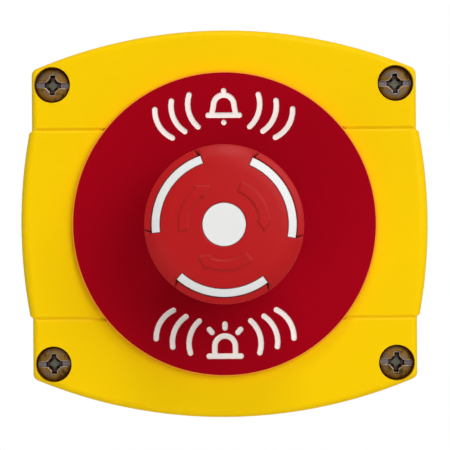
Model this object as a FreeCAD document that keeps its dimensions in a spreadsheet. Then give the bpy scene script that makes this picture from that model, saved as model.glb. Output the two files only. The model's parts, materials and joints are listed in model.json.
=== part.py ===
import FreeCAD, Part
import math
import os
import re

import Sketcher

# Panic button: a mushroom push button on a surface-mounted enclosure.
# Origin at the middle of the back face, which lies on the wall. +Z is up and the front faces -Y.

doc = FreeCAD.newDocument("PanicButton")
sizes = doc.addObject("Spreadsheet::Sheet", "Sizes")

DRIVING = {
    # Enclosure seen from the front
    "section_width": 101.3,
    "section_height": 102.0,
    "end_arc_radius": 128.5,
    "corner_radius": 2.0,
    "band_step": 0.78,
    "band_to_screw": 12.2,
    "band_arc_radius": 131.0,
    "band_chamfer": 0.6,
    "front_edge_radius": 1.7,
    "band_edge_radius": 2.2,
    "line_width": 1.3,
    "line_depth": 0.5,
    "line_offset": 0.25,
    # Enclosure from the wall outwards
    "box_depth": 34.0,
    "cover_depth": 21.0,
    "box_inset": 0.4,
    "wall_thickness": 3.2,
    "face_thickness": 3.2,
    "back_thickness": 3.0,
    # Gasket between the box and its cover
    "gasket_width": 1.6,
    "gasket_depth": 1.4,
    "gasket_land": 0.7,
    # Cover screws and their inserts
    "screw_inset_across": 5.45,
    "screw_inset_up": 3.8,
    "column_half_width": 6.8,
    "counterbore_diameter": 9.5,
    "screw_head_diameter": 8.6,
    "screw_head_height": 3.1,
    "screw_head_crown": 0.5,
    "screw_head_recess": 2.2,
    "screw_diameter": 3.9,
    "screw_length": 30.0,
    "screw_hole_diameter": 4.4,
    "insert_diameter": 5.6,
    "insert_length": 8.0,
    "insert_clearance": 0.02,
    "screw_bore_depth": 17.0,
    # Fixing holes in the back and knockouts in the top and bottom walls
    "wall_hole_diameter": 5.0,
    "wall_hole_spacing_across": 70.0,
    "wall_hole_spacing_up": 50.0,
    "wall_pad_diameter": 11.0,
    "wall_pad_height": 1.2,
    "knockout_diameter": 20.4,
    "knockout_groove_width": 1.0,
    "knockout_web": 1.2,
    "spotface_diameter": 26.0,
    "spotface_depth": 0.8,
    "rear_entry_diameter": 18.0,
    "rear_entry_drop": 22.0,
    # Legend plate and the gasket behind the bezel
    "plate_diameter": 80.0,
    "plate_thickness": 2.4,
    "plate_chamfer": 0.3,
    "panel_clearance": 0.2,
    "key_width": 3.0,
    "key_height": 1.2,
    "key_clearance": 0.15,
    "bezel_gasket_thickness": 1.0,
    "bezel_gasket_inset": 0.4,
    # Actuator body
    "bezel_overhang": 3.8,
    "bezel_height": 9.0,
    "bezel_chamfer": 1.0,
    "bezel_rim_width": 2.2,
    "barrel_diameter": 22.0,
    "barrel_reach": 13.0,
    "barrel_wall": 2.0,
    "pusher_stop_height": 2.0,
    "pocket_floor_height": 5.0,
    "guide_height": 10.0,
    "guide_diameter": 11.6,
    "seal_diameter": 10.6,
    "seal_depth": 1.8,
    "seal_lip_height": 1.0,
    "keyway_width": 2.2,
    "keyway_depth": 0.9,
    "running_clearance": 0.05,
    # Latch clip round the stem
    "clip_thickness": 0.6,
    "clip_width": 1.0,
    "clip_height": 6.8,
    "clip_gap": 0.1,
    "clip_leg_reach": 6.2,
    "clip_bend_rise": 3.4,
    # Mushroom head
    "head_diameter": 40.0,
    "head_top": 36.0,
    "head_depth": 16.0,
    "dome_radius": 140.0,
    "dome_diameter": 28.0,
    "shoulder_radius": 11.6,
    "head_edge_radius": 0.6,
    "skirt_thickness": 1.6,
    "roof_thickness": 2.6,
    "roof_flat_diameter": 26.0,
    "roof_fall": 1.4,
    "roof_corner": 0.4,
    "head_clocking": 27.7,
    "arc_inner_radius": 15.95,
    "arc_outer_radius": 18.3,
    "arc_half_angle": 39.2,
    "ledge_depth": 0.55,
    "ledge_rim_depth": 0.1,
    "notch_depth": 1.6,
    "notch_offset": 0.3,
    "notch_angle": 1.5,
    "notch_slant": 2.8,
    "arrow_height": 0.3,
    "arrow_inner_radius": 9.0,
    "arrow_outer_radius": 11.4,
    "arrow_barb_overhang": 0.7,
    "arrow_tail_angle": 39.9,
    "arrow_barb_angle": -20.3,
    "arrow_tip_angle": -37.0,
    # White insert under the head
    "dot_diameter": 10.8,
    "insert_gap": 0.12,
    "rib_outer_gap": 0.22,
    "web_thickness": 1.5,
    "hub_diameter": 16.0,
    # Stem
    "stem_diameter": 8.0,
    "stem_plug_diameter": 10.3,
    "stem_plug_height": 9.0,
    "spring_seat_height": 20.0,
    "spring_seat_diameter": 22.0,
    "spring_seat_thickness": 2.0,
    "latch_groove_depth": 0.6,
    "latch_groove_width": 1.5,
    "stem_neck_diameter": 6.0,
    "snap_diameter": 7.6,
    "snap_length": 2.2,
    "snap_slot_width": 1.4,
    # Travel and springs
    "press_travel": 5.0,
    "return_spring_diameter": 19.0,
    "return_spring_wire": 1.2,
    "return_spring_pitch": 3.6,
    "contact_spring_diameter": 4.5,
    "contact_spring_wire": 0.5,
    "contact_spring_pitch": 4.1,
    # Pusher inside the barrel
    "pusher_wall": 1.0,
    "pusher_web": 3.0,
    "pusher_overhang": 0.3,
    "pusher_leg_inside": 4.2,
    "pusher_leg_outside": 7.4,
    "pusher_leg_height": 6.8,
    "pusher_key_width": 2.0,
    "pusher_key_height": 0.7,
    # Fixing nut
    "nut_ring_width": 3.5,
    "nut_thickness": 5.0,
    "nut_notch_width": 3.0,
    "nut_notch_depth": 1.5,
    "nut_notch_count": 8,
    "nut_bore_clearance": 0.05,
    # Carrier for the contact blocks
    "carrier_gap": 0.5,
    "carrier_width": 27.0,
    "carrier_height": 36.0,
    "carrier_corner_radius": 3.0,
    "carrier_seat_clearance": 0.1,
    "carrier_lip_width": 1.0,
    "block_standoff": 19.0,
    "set_screw_diameter": 3.8,
    "set_screw_head_diameter": 6.0,
    "set_screw_head_height": 2.4,
    "set_screw_depth": 11.0,
    "hook_width": 8.0,
    "hook_thickness": 1.6,
    "hook_clearance": 0.1,
    "hook_notch_place": 4.0,
    "hook_notch_length": 1.6,
    "hook_notch_depth": 0.8,
    # Contact blocks
    "block_pitch": 10.2,
    "block_width": 9.8,
    "block_height": 28.0,
    "block_depth": 27.0,
    "block_wall": 1.2,
    "side_cover_thickness": 1.2,
    "plunger_gap": 0.3,
    "plunger_width": 4.0,
    "plunger_height": 6.0,
    "plunger_body_width": 6.4,
    "plunger_end": 13.0,
    "spring_post_diameter": 3.2,
    "spring_post_length": 3.0,
    "partition_thickness": 0.8,
    "partition_place": 4.6,
    "partition_start": 16.6,
    "strip_thickness": 0.8,
    "strip_width": 5.0,
    "strip_inner_end": 5.2,
    "clamp_leg_place": 18.2,
    "clamp_leg_end": 7.6,
    "bridge_width": 3.0,
    "bridge_length": 15.6,
    "rivet_diameter": 2.4,
    "rivet_height": 0.5,
    "rivet_spacing": 13.2,
    "contact_gap": 0.05,
    "closed_strip_place": 8.0,
    "open_bridge_place": 6.0,
    "terminal_spacing": 19.6,
    "terminal_screw_diameter": 3.3,
    "terminal_screw_length": 8.4,
    "terminal_head_diameter": 5.2,
    "terminal_head_height": 2.4,
    "terminal_washer_diameter": 5.8,
    "terminal_washer_thickness": 0.8,
    "terminal_hole_clearance": 0.1,
    "terminal_access_diameter": 5.8,
    "wire_entry_width": 4.8,
    "wire_entry_length": 4.6,
}

for row, (alias, value) in enumerate(DRIVING.items(), start=1):
    sizes.set(f"A{row}", alias)
    sizes.set(f"B{row}", str(value))
    sizes.setAlias(f"B{row}", alias)
doc.recompute()

# Distances from the wall and from the cover's face that several pieces share
FACE = "(box_depth + cover_depth)"
BEZEL_BASE = "(plate_thickness + bezel_gasket_thickness)"
BARREL_REAR = "(-barrel_reach)"
BEZEL_DIAMETER = "(barrel_diameter + 2 * bezel_overhang)"
PUSHER_DIAMETER = "(barrel_diameter - 2 * barrel_wall)"
NUT_DIAMETER = "(barrel_diameter + 2 * nut_ring_width)"
PUSHER_FRONT = "(pusher_stop_height - running_clearance)"
PUSHER_REAR = "(-barrel_reach - pusher_overhang)"
ROOF_UNDERSIDE = "(head_top - roof_thickness)"
WEB_UNDERSIDE = "(head_top - roof_thickness - web_thickness)"

reader = doc.addObject("App::FeaturePython", "Reader")
reader.addProperty("App::PropertyFloat", "Value")


def formula(text):
    """A formula in plain size names, as an expression on the spreadsheet."""
    return re.sub(r"[a-z]+(?:_[a-z]+)+", r"Sizes.\g<0>", text)


def number(text):
    """The present value of a formula, which places a sketch's first geometry."""
    reader.setExpression("Value", formula(text))
    reader.recompute()
    return reader.Value


def bind(item, path, text):
    item.setExpression(path, formula(text))


def minus(text):
    return f"-({text})"


# Helpers for bodies and sketches

PLANES = {"front": "XZ_Plane", "side": "YZ_Plane", "top": "XY_Plane", "turning": "XY_Plane"}


def origin_plane(body, role):
    return next(item for item in body.Origin.OriginFeatures if item.Role == role)


def new_body(name, forward="0", across="0", turn=None):
    """A body whose zero lies `forward` of the wall; `turn` turns it anticlockwise, seen from the front."""
    body = doc.addObject("PartDesign::Body", name)
    body.Label = name
    body.Placement = FreeCAD.Placement(FreeCAD.Vector(), FreeCAD.Rotation(FreeCAD.Vector(0, -1, 0), 1))
    bind(body, "Placement.Rotation.Angle", turn or "0")
    bind(body, "Placement.Base.x", across)
    bind(body, "Placement.Base.y", minus(forward))
    return body


def new_sketch(body, name, plane, level="0", across="0"):
    """A sketch on an origin plane. `level` moves it along the plane's normal.

    front: x right, y up, normal forward. side: x to the wall, y up, normal right.
    top: x right, y to the wall, normal up. turning: x the radius, y forward, for turned shapes.
    """
    sketch = body.newObject("Sketcher::SketchObject", f"{body.Label}_{name}")
    sketch.AttachmentSupport = [(origin_plane(body, PLANES[plane]), "")]
    sketch.MapMode = "FlatFace"
    if plane == "turning":
        half_turn = FreeCAD.Rotation(FreeCAD.Vector(1, 0, 0), 180)
        sketch.AttachmentOffset = FreeCAD.Placement(FreeCAD.Vector(), half_turn)
    bind(sketch, "AttachmentOffset.Base.x", across)
    bind(sketch, "AttachmentOffset.Base.z", level)
    return sketch


def constrain(sketch, constraints):
    """Add constraints given as (formula, kind, arguments...) and bind those that have a formula."""
    first = sketch.ConstraintCount
    made = []
    for text, kind, *arguments in constraints:
        value = [number(text)] if text else []
        made.append(Sketcher.Constraint(kind, *arguments, *value))
    sketch.addConstraint(made)
    for index, (text, *_) in enumerate(constraints, start=first):
        if text:
            bind(sketch, f"Constraints[{index}]", text)


def pin(item, end, x, y):
    """Constraints that hold one end of a sketch item at x, y."""
    held = []
    for text, kind, axis in ((x, "DistanceX", -2), (y, "DistanceY", -1)):
        if text == "0":
            held.append(("", "PointOnObject", item, end, axis))
        else:
            held.append((text, kind, item, end))
    return held


def arc_between(start, end, radius, hollow):
    """The short arc from start to end of an anticlockwise outline; a hollow one bends inwards."""
    chord = end - start
    inward = FreeCAD.Vector(-chord.y, chord.x, 0).normalize()
    reach = math.sqrt(radius ** 2 - (chord.Length / 2) ** 2)
    centre = (start + end) / 2 + inward * (-reach if hollow else reach)
    first, last = (end, start) if hollow else (start, end)
    angles = [math.atan2(point.y - centre.y, point.x - centre.x) for point in (first, last)]
    circle = Part.Circle(centre, FreeCAD.Vector(0, 0, 1), radius)
    return Part.ArcOfCircle(circle, *angles)


def draw_outline(sketch, corners, bends=None, hollows=None):
    """A closed anticlockwise outline through the corners.

    `bends` and `hollows` map a side's number to the radius of its arc.
    """
    bends = bends or {}
    hollows = hollows or {}
    points = [FreeCAD.Vector(number(x), number(y), 0) for x, y in corners]
    items = []
    ends = []
    constraints = []
    for side, start in enumerate(points):
        item = sketch.GeometryCount + side
        end = points[(side + 1) % len(points)]
        radius = bends.get(side) or hollows.get(side)
        hollow = side in hollows
        curved = radius and arc_between(start, end, number(radius), hollow)
        items.append(curved or Part.LineSegment(start, end))
        ends.append((item, 2, 1) if hollow else (item, 1, 2))
        if radius:
            constraints.append((radius, "Radius", item))
    sketch.addGeometry(items)
    for side, (x, y) in enumerate(corners):
        item, start_end, far_end = ends[side]
        next_item, next_start, _ = ends[(side + 1) % len(corners)]
        constraints.append(("", "Coincident", item, far_end, next_item, next_start))
        constraints += pin(item, start_end, x, y)
    constrain(sketch, constraints)


def draw_circle(sketch, diameter, x="0", y="0"):
    centre = FreeCAD.Vector(number(x), number(y), 0)
    item = sketch.addGeometry(Part.Circle(centre, FreeCAD.Vector(0, 0, 1), number(diameter) / 2))
    constrain(sketch, [(diameter, "Diameter", item)] + pin(item, 3, x, y))


def draw_rectangle(sketch, left, right, bottom, top):
    draw_outline(sketch, [(left, bottom), (right, bottom), (right, top), (left, top)])


def draw_centred(sketch, width, height):
    """A rectangle about the sketch's zero."""
    x = f"({width}) / 2"
    y = f"({height}) / 2"
    draw_rectangle(sketch, minus(x), x, minus(y), y)


# Helpers for features

def settle(body, feature, before, sign):
    """Recompute and make sure that the feature added (+1) or cut (-1) something."""
    doc.recompute()
    change = feature.Shape.Volume - before
    if "Invalid" in feature.State or "Error" in feature.State or change * sign <= 0:
        raise RuntimeError(f"{body.Label}: {feature.Name} changed the volume by {change:.3f}")
    return feature


def volume(body):
    return body.Shape.Volume if body.Tip else 0.0


def extrude(body, kind, sketch, length, reverse, symmetric, sign):
    before = volume(body)
    feature = body.newObject(f"PartDesign::{kind}", f"{sketch.Name}_{kind}")
    feature.Profile = sketch
    bind(feature, "Length", length)
    feature.Reversed = reverse
    if symmetric:
        feature.SideType = "Symmetric"
    return settle(body, feature, before, sign)


def pad(body, sketch, length, reverse=False, symmetric=False):
    return extrude(body, "Pad", sketch, length, reverse, symmetric, 1)


def pocket(body, sketch, length, reverse=False, symmetric=False):
    return extrude(body, "Pocket", sketch, length, reverse, symmetric, -1)


def turned(body, kind, sketch, angle, sign):
    """Turn a sketch about its own upright axis, which lies along the actuator's axis."""
    before = volume(body)
    feature = body.newObject(f"PartDesign::{kind}", f"{sketch.Name}_{kind}")
    feature.Profile = sketch
    feature.ReferenceAxis = (sketch, ["V_Axis"])
    if angle:
        feature.Midplane = True
    bind(feature, "Angle", angle or "360")
    return settle(body, feature, before, sign)


def revolve(body, sketch, angle=None):
    return turned(body, "Revolution", sketch, angle, 1)


def groove(body, sketch, angle=None):
    return turned(body, "Groove", sketch, angle, -1)


def dress(body, kind, edges, path, size):
    """Round or chamfer the named edges of the body's last feature."""
    feature = body.newObject(f"PartDesign::{kind}", f"{body.Label}_{kind}")
    feature.Base = (body.Tip if body.Tip != feature else feature.BaseFeature, edges)
    bind(feature, path, size)
    return settle(body, feature, 0.0, 1)


def edges_of(body, test):
    """Names of the last feature's edges whose bounding box passes the test."""
    return [f"Edge{n}" for n, edge in enumerate(body.Tip.Shape.Edges, start=1) if test(edge.BoundBox)]


def mirror_about(body, originals, roles, sign=1):
    """Repeat features in the origin planes with the given roles."""
    before = volume(body)
    pattern = body.newObject("PartDesign::MultiTransform", f"{originals[-1].Name}_copies")
    steps = []
    for role in roles:
        step = body.newObject("PartDesign::Mirrored", f"{pattern.Name}_{role}")
        step.MirrorPlane = (origin_plane(body, role), [""])
        steps.append(step)
    pattern.Originals = originals
    pattern.Transformations = steps
    body.Tip = pattern
    return settle(body, pattern, before, sign)


def around_axis(body, originals, count, sign):
    """Repeat features about the actuator's axis."""
    before = volume(body)
    pattern = body.newObject("PartDesign::PolarPattern", f"{originals[-1].Name}_around")
    pattern.Originals = originals
    pattern.Axis = (next(item for item in body.Origin.OriginFeatures if item.Role == "Y_Axis"), [""])
    pattern.Angle = 360
    bind(pattern, "Occurrences", count)
    body.Tip = pattern
    return settle(body, pattern, before, sign)


def coil(body, base, top, diameter, wire, pitch):
    """A compression spring of square wire, between two levels forward of the body's zero."""
    sketch = new_sketch(body, "wire", "turning")
    inside = f"({diameter} - {wire}) / 2"
    outside = f"({diameter} + {wire}) / 2"
    draw_rectangle(sketch, inside, outside, base, f"{base} + {wire}")
    helix = body.newObject("PartDesign::AdditiveHelix", f"{body.Label}_helix")
    helix.Profile = sketch
    helix.ReferenceAxis = (sketch, ["V_Axis"])
    helix.Mode = "pitch-height-angle"
    bind(helix, "Pitch", pitch)
    bind(helix, "Height", f"{top} - ({base}) - {wire}")
    return settle(body, helix, 0.0, 1)


# Outlines of the enclosure, as the upper right quarter of each

def arc_height(x, inset):
    """Height of the end arc, moved inwards by the inset, at a distance x from the middle."""
    return f"(section_height / 2 - end_arc_radius + sqrt(pow(end_arc_radius - ({inset}); 2) - pow({x}; 2)))"


def section_side(inset):
    return f"(section_width / 2 - ({inset}))"


# Where the screws stand, and the upper edge of the band between them
SCREW_ACROSS = "(section_width / 2 - screw_inset_across)"
SCREW_UP = f"({arc_height('section_width / 2', '0')} - screw_inset_up)"
BAND_TOP = f"({SCREW_UP} - band_to_screw)"
BAND_END = f"({BAND_TOP} - band_chamfer)"


def band_rise(inset):
    """How far the band's side arc, moved inwards by the inset, reaches past its centre at its end."""
    return f"sqrt(pow(band_arc_radius - ({inset}); 2) - pow({BAND_END}; 2))"


def band_corners(inset):
    """Where the band's side arc ends, and where its chamfer meets the section's side."""
    side = f"(section_width / 2 + band_step - {band_rise('0')} + {band_rise(inset)})"
    return [(side, BAND_END), (section_side(inset), BAND_TOP)]


def draw_quarters(sketch, quarter, end_arc=None, side_arc=None):
    """A closed outline from its upper right quarter, given anticlockwise from the right side."""
    right_low = [(x, minus(z)) for x, z in reversed(quarter)]
    left_high = [(minus(x), z) for x, z in reversed(quarter)]
    left_low = [(minus(x), minus(z)) for x, z in quarter]
    count = len(quarter)
    bends = {}
    if end_arc:
        bends.update({count - 1: end_arc, 3 * count - 1: end_arc})
    if side_arc:
        bends.update({2 * count - 1: side_arc, 4 * count - 1: side_arc})
    draw_outline(sketch, quarter + left_high + left_low + right_low, bends)


def draw_section(sketch, inset):
    side = section_side(inset)
    draw_quarters(sketch, [(side, arc_height(side, inset))], end_arc=f"end_arc_radius - ({inset})")


def draw_band(sketch, inset):
    draw_quarters(sketch, band_corners(inset), side_arc=f"band_arc_radius - ({inset})")


def draw_cavity(sketch, inset, spread):
    """The inside of the enclosure, notched at each corner round a screw column.

    `spread` moves the notches' sides towards the screws.
    """
    notch_x = f"({SCREW_ACROSS} - column_half_width + {spread})"
    notch_z = f"({SCREW_UP} - column_half_width + {spread})"
    corner = [(section_side(inset), notch_z), (notch_x, notch_z), (notch_x, arc_height(notch_x, inset))]
    draw_quarters(
        sketch,
        band_corners(inset) + corner,
        end_arc=f"end_arc_radius - ({inset})",
        side_arc=f"band_arc_radius - ({inset})",
    )


def draw_screw_holes(sketch, diameter):
    for sign_x in ("", "-"):
        for sign_z in ("", "-"):
            draw_circle(sketch, diameter, f"{sign_x}{SCREW_ACROSS}", f"{sign_z}{SCREW_UP}")


def round_corners(body, depth):
    """Round the four corners of the section, whose edges are as long as the piece is deep."""
    edges = edges_of(body, lambda box: box.YLength > depth - 0.01)
    dress(body, "Fillet", edges, "Radius", "corner_radius")


# Enclosure

def make_back_box():
    body = new_body("back_box")
    depth = number("box_depth")
    section = new_sketch(body, "section", "front")
    draw_section(section, "box_inset")
    pad(body, section, "box_depth")
    round_corners(body, depth)
    band = new_sketch(body, "band", "front")
    draw_band(band, "box_inset")
    pad(body, band, "box_depth")

    cavity = new_sketch(body, "cavity", "front", "box_depth")
    draw_cavity(cavity, "wall_thickness", "0")
    pocket(body, cavity, "box_depth - back_thickness")

    seat = new_sketch(body, "gasket_seat", "front", "box_depth")
    draw_gasket(seat)
    pocket(body, seat, "gasket_depth")

    inserts = new_sketch(body, "insert_bores", "front", "box_depth")
    draw_screw_holes(inserts, "insert_diameter + 2 * insert_clearance")
    pocket(body, inserts, "insert_length + insert_clearance")
    bores = new_sketch(body, "screw_bores", "front", "box_depth - insert_length")
    draw_screw_holes(bores, "screw_hole_diameter")
    pocket(body, bores, "screw_bore_depth - insert_length")

    for name, diameter in (("pads", "wall_pad_diameter"), ("holes", "wall_hole_diameter")):
        sketch = new_sketch(body, f"wall_{name}", "front", "back_thickness + wall_pad_height")
        for sign_x in ("", "-"):
            for sign_z in ("", "-"):
                x = f"{sign_x}wall_hole_spacing_across / 2"
                draw_circle(sketch, diameter, x, f"{sign_z}wall_hole_spacing_up / 2")
        if name == "pads":
            pad(body, sketch, "wall_pad_height", reverse=True)
        else:
            pocket(body, sketch, "back_thickness + wall_pad_height")
    entry = new_sketch(body, "rear_entry", "front", "back_thickness")
    draw_circle(entry, "rear_entry_diameter", "0", "-rear_entry_drop")
    pocket(body, entry, "back_thickness")
    make_knockouts(body)
    return body


def make_knockouts(body):
    """A spotface and a thin ring in the top wall and in the bottom wall, for a cable gland."""
    middle = "-box_depth / 2"
    face = new_sketch(body, "spotface", "top", "section_height / 2")
    draw_circle(face, "spotface_diameter", "0", middle)
    spot = pocket(body, face, "box_inset + spotface_depth")
    ring = new_sketch(body, "knockout", "top", "section_height / 2 - box_inset - spotface_depth")
    draw_circle(ring, "knockout_diameter", "0", middle)
    draw_circle(ring, "knockout_diameter - 2 * knockout_groove_width", "0", middle)
    cut = pocket(body, ring, "wall_thickness - box_inset - spotface_depth - knockout_web")
    mirror_about(body, [spot, cut], ["XY_Plane"], sign=-1)


def draw_gasket(sketch):
    """The gasket's outer and inner outlines, inside the screws."""
    for edge in ("gasket_land + gasket_width", "gasket_land"):
        draw_cavity(sketch, f"wall_thickness - ({edge})", edge)


def make_box_gasket():
    body = new_body("box_gasket")
    ring = new_sketch(body, "ring", "front", "box_depth")
    draw_gasket(ring)
    pad(body, ring, "gasket_depth", reverse=True)
    return body


def make_front_cover():
    body = new_body("front_cover")
    depth = number("cover_depth")
    front = -number(FACE)
    section_edge = number("section_width / 2")

    section = new_sketch(body, "section", "front", "box_depth")
    draw_section(section, "0")
    pad(body, section, "cover_depth")
    round_corners(body, depth)
    rim = edges_of(body, lambda box: abs(box.YMax - front) < 0.01)
    dress(body, "Fillet", rim, "Radius", "front_edge_radius")
    band = new_sketch(body, "band", "front", "box_depth")
    draw_band(band, "0")
    pad(body, band, "cover_depth")
    upright = number("section_height") / 4
    sides = edges_of(body, lambda box: box.ZLength > upright
                     and abs(box.YMax - front) < 0.01
                     and abs(box.Center.x) > section_edge)
    dress(body, "Fillet", sides, "Radius", "band_edge_radius")

    cavity = new_sketch(body, "cavity", "front", "box_depth")
    draw_cavity(cavity, "wall_thickness", "0")
    pocket(body, cavity, "cover_depth - face_thickness", reverse=True)
    counterbores = new_sketch(body, "counterbores", "front", FACE)
    draw_screw_holes(counterbores, "counterbore_diameter")
    pocket(body, counterbores, "screw_head_recess + screw_head_height")
    holes = new_sketch(body, "screw_holes", "front", FACE)
    draw_screw_holes(holes, "screw_hole_diameter")
    pocket(body, holes, "cover_depth")
    cut_panel_hole(body, FACE, "face_thickness")

    lines = new_sketch(body, "lines", "side")
    for sign in ("", "-"):
        middle = f"{sign}({BAND_TOP} + line_offset)"
        draw_outline(lines, [
            (f"-{FACE} - line_depth", f"{middle} - line_width / 2"),
            (f"-{FACE}", f"{middle} - line_width / 2"),
            (f"-{FACE} + line_depth", middle),
            (f"-{FACE}", f"{middle} + line_width / 2"),
            (f"-{FACE} - line_depth", f"{middle} + line_width / 2"),
        ])
    pocket(body, lines, "section_width + band_arc_radius", symmetric=True)
    return body


def cut_panel_hole(body, level, depth):
    """The round hole for the barrel, with a notch at the top for its key."""
    hole = new_sketch(body, "panel_hole", "front", level)
    draw_circle(hole, "barrel_diameter + 2 * panel_clearance")
    pocket(body, hole, depth)
    notch = new_sketch(body, "key_notch", "front", level)
    side = "(key_width / 2 + key_clearance)"
    top = "barrel_diameter / 2 + key_height + key_clearance"
    draw_rectangle(notch, minus(side), side, "0", top)
    pocket(body, notch, depth)


def make_cover_screws():
    """Four pan head screws; their heads sit on the counterbores' floors."""
    body = new_body("cover_screws", FACE)
    profile = new_sketch(body, "profile", "turning", SCREW_UP, across=SCREW_ACROSS)
    seat = "(-screw_head_recess - screw_head_height)"
    top = "-screw_head_recess"
    shank = "screw_diameter / 2"
    head = "screw_head_diameter / 2"
    tip = f"{seat} - screw_length"
    crown_radius = "(pow(screw_head_diameter / 2; 2) + pow(screw_head_crown; 2)) / (2 * screw_head_crown)"
    draw_outline(profile, [
        ("0", tip),
        (f"{shank} - screw_head_crown", tip),
        (shank, f"{tip} + screw_head_crown"),
        (shank, seat),
        (head, seat),
        (head, f"{top} - screw_head_crown"),
        ("0", top),
    ], bends={5: crown_radius})
    screw = revolve(body, profile)
    mirror_about(body, [screw], ["YZ_Plane", "XY_Plane"])
    return body


def make_threaded_inserts():
    """Four brass inserts in the box's screw columns."""
    body = new_body("threaded_inserts", "box_depth")
    profile = new_sketch(body, "profile", "turning", SCREW_UP, across=SCREW_ACROSS)
    inside = "(screw_diameter / 2 + running_clearance)"
    outside = "insert_diameter / 2"
    draw_outline(profile, [
        (inside, "-insert_length"),
        (outside, "-insert_length"),
        (outside, "-insert_clearance"),
        (inside, "-insert_clearance"),
    ])
    insert = revolve(body, profile)
    mirror_about(body, [insert], ["YZ_Plane", "XY_Plane"])
    return body


# Actuator: every height is forward of the cover's face

def make_legend_plate():
    body = new_body("legend_plate", FACE)
    disc = new_sketch(body, "disc", "front")
    draw_circle(disc, "plate_diameter")
    pad(body, disc, "plate_thickness")
    front = -number("plate_thickness")
    rim = edges_of(body, lambda box: abs(box.YMax - front) < 0.01)
    dress(body, "Chamfer", rim, "Size", "plate_chamfer")
    cut_panel_hole(body, "plate_thickness", "plate_thickness")
    return body


def make_bezel_gasket():
    body = new_body("bezel_gasket", FACE)
    ring = new_sketch(body, "ring", "front", "plate_thickness")
    draw_circle(ring, f"{BEZEL_DIAMETER} - 2 * bezel_gasket_inset")
    draw_circle(ring, "barrel_diameter + 2 * key_height + 2 * key_clearance")
    pad(body, ring, "bezel_gasket_thickness")
    return body


def make_actuator_body():
    """Bezel, stem guide and barrel in one moulding, turned about the actuator's axis."""
    body = new_body("actuator_body", FACE)
    profile = new_sketch(body, "profile", "turning")
    bore = f"({PUSHER_DIAMETER} / 2 + running_clearance)"
    barrel = "barrel_diameter / 2"
    bezel = f"{BEZEL_DIAMETER} / 2"
    rim = f"{bezel} - bezel_rim_width"
    guide = "guide_diameter / 2"
    stem = "(stem_diameter / 2 + running_clearance)"
    top = f"{BEZEL_BASE} + bezel_height"
    draw_outline(profile, [
        (bore, BARREL_REAR),
        (barrel, BARREL_REAR),
        (barrel, BEZEL_BASE),
        (bezel, BEZEL_BASE),
        (bezel, f"{top} - bezel_chamfer"),
        (f"{bezel} - bezel_chamfer", top),
        (rim, top),
        (rim, "pocket_floor_height"),
        (guide, "pocket_floor_height"),
        (guide, "guide_height"),
        ("seal_diameter / 2", "guide_height"),
        ("seal_diameter / 2", "guide_height - seal_depth"),
        (stem, "guide_height - seal_depth"),
        (stem, "pusher_stop_height"),
        (bore, "pusher_stop_height"),
    ])
    revolve(body, profile)

    key = new_sketch(body, "key", "front", BEZEL_BASE)
    key_base = "(barrel_diameter / 2 - pusher_wall / 2)"
    draw_rectangle(key, "-key_width / 2", "key_width / 2", key_base, "barrel_diameter / 2 + key_height")
    pad(body, key, f"{BEZEL_BASE} + face_thickness", reverse=True)
    keyway = new_sketch(body, "keyway", "front", BARREL_REAR)
    keyway_low = f"-{bore} - keyway_depth"
    draw_rectangle(keyway, "-keyway_width / 2", "keyway_width / 2", keyway_low, "-guide_diameter / 2")
    pocket(body, keyway, "barrel_reach + pusher_stop_height", reverse=True)

    slots = new_sketch(body, "clip_slots", "front", "clip_height + clip_width / 2 + clip_gap")
    inner = "(stem_diameter / 2 - running_clearance)"
    outer = "(stem_diameter / 2 + 2 * clip_gap + clip_thickness)"
    reach = "guide_diameter / 2"
    draw_rectangle(slots, inner, outer, minus(reach), reach)
    draw_rectangle(slots, minus(outer), minus(inner), minus(reach), reach)
    pocket(body, slots, "clip_width + 2 * clip_gap")
    return body


def make_stem_seal():
    """Lip seal in the top of the stem guide."""
    body = new_body("stem_seal", FACE)
    profile = new_sketch(body, "profile", "turning")
    base = "(guide_height - seal_depth)"
    lip = "(stem_diameter / 2 + running_clearance)"
    outside = "seal_diameter / 2"
    draw_outline(profile, [
        (lip, base),
        (outside, base),
        (outside, "guide_height"),
        (f"({lip} + {outside}) / 2", "guide_height"),
        (lip, f"{base} + seal_lip_height"),
    ])
    revolve(body, profile)
    return body


def make_latch_clip():
    """Hairpin of spring strip round the stem, whose groove comes down to it when the head is pressed."""
    body = new_body("latch_clip", FACE)
    strip = new_sketch(body, "strip", "front", "clip_height - clip_width / 2")
    inner = "(stem_diameter / 2 + clip_gap)"
    outer = f"({inner} + clip_thickness)"
    low = minus("clip_leg_reach")
    draw_outline(strip, [
        (inner, low),
        (outer, low),
        (outer, "clip_bend_rise"),
        ("0", f"clip_bend_rise + {outer}"),
        (minus(outer), "clip_bend_rise"),
        (minus(outer), low),
        (minus(inner), low),
        (minus(inner), "clip_bend_rise"),
        ("0", f"clip_bend_rise + {inner}"),
        (inner, "clip_bend_rise"),
    ], bends={2: outer, 3: outer}, hollows={7: inner, 8: inner})
    pad(body, strip, "clip_width")
    return body


def make_fixing_nut():
    """Ring nut behind the cover's face, with notches for a spanner."""
    body = new_body("fixing_nut", FACE)
    ring = new_sketch(body, "ring", "front", "-face_thickness")
    draw_circle(ring, NUT_DIAMETER)
    draw_circle(ring, "barrel_diameter + 2 * nut_bore_clearance")
    pad(body, ring, "nut_thickness", reverse=True)
    notch = new_sketch(body, "notch", "front", "-face_thickness")
    low = f"{NUT_DIAMETER} / 2 - nut_notch_depth"
    high = f"{NUT_DIAMETER} / 2 + nut_notch_depth"
    draw_rectangle(notch, "-nut_notch_width / 2", "nut_notch_width / 2", low, high)
    cut = pocket(body, notch, "nut_thickness")
    around_axis(body, [cut], "nut_notch_count", -1)
    return body


# Mushroom head

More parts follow.
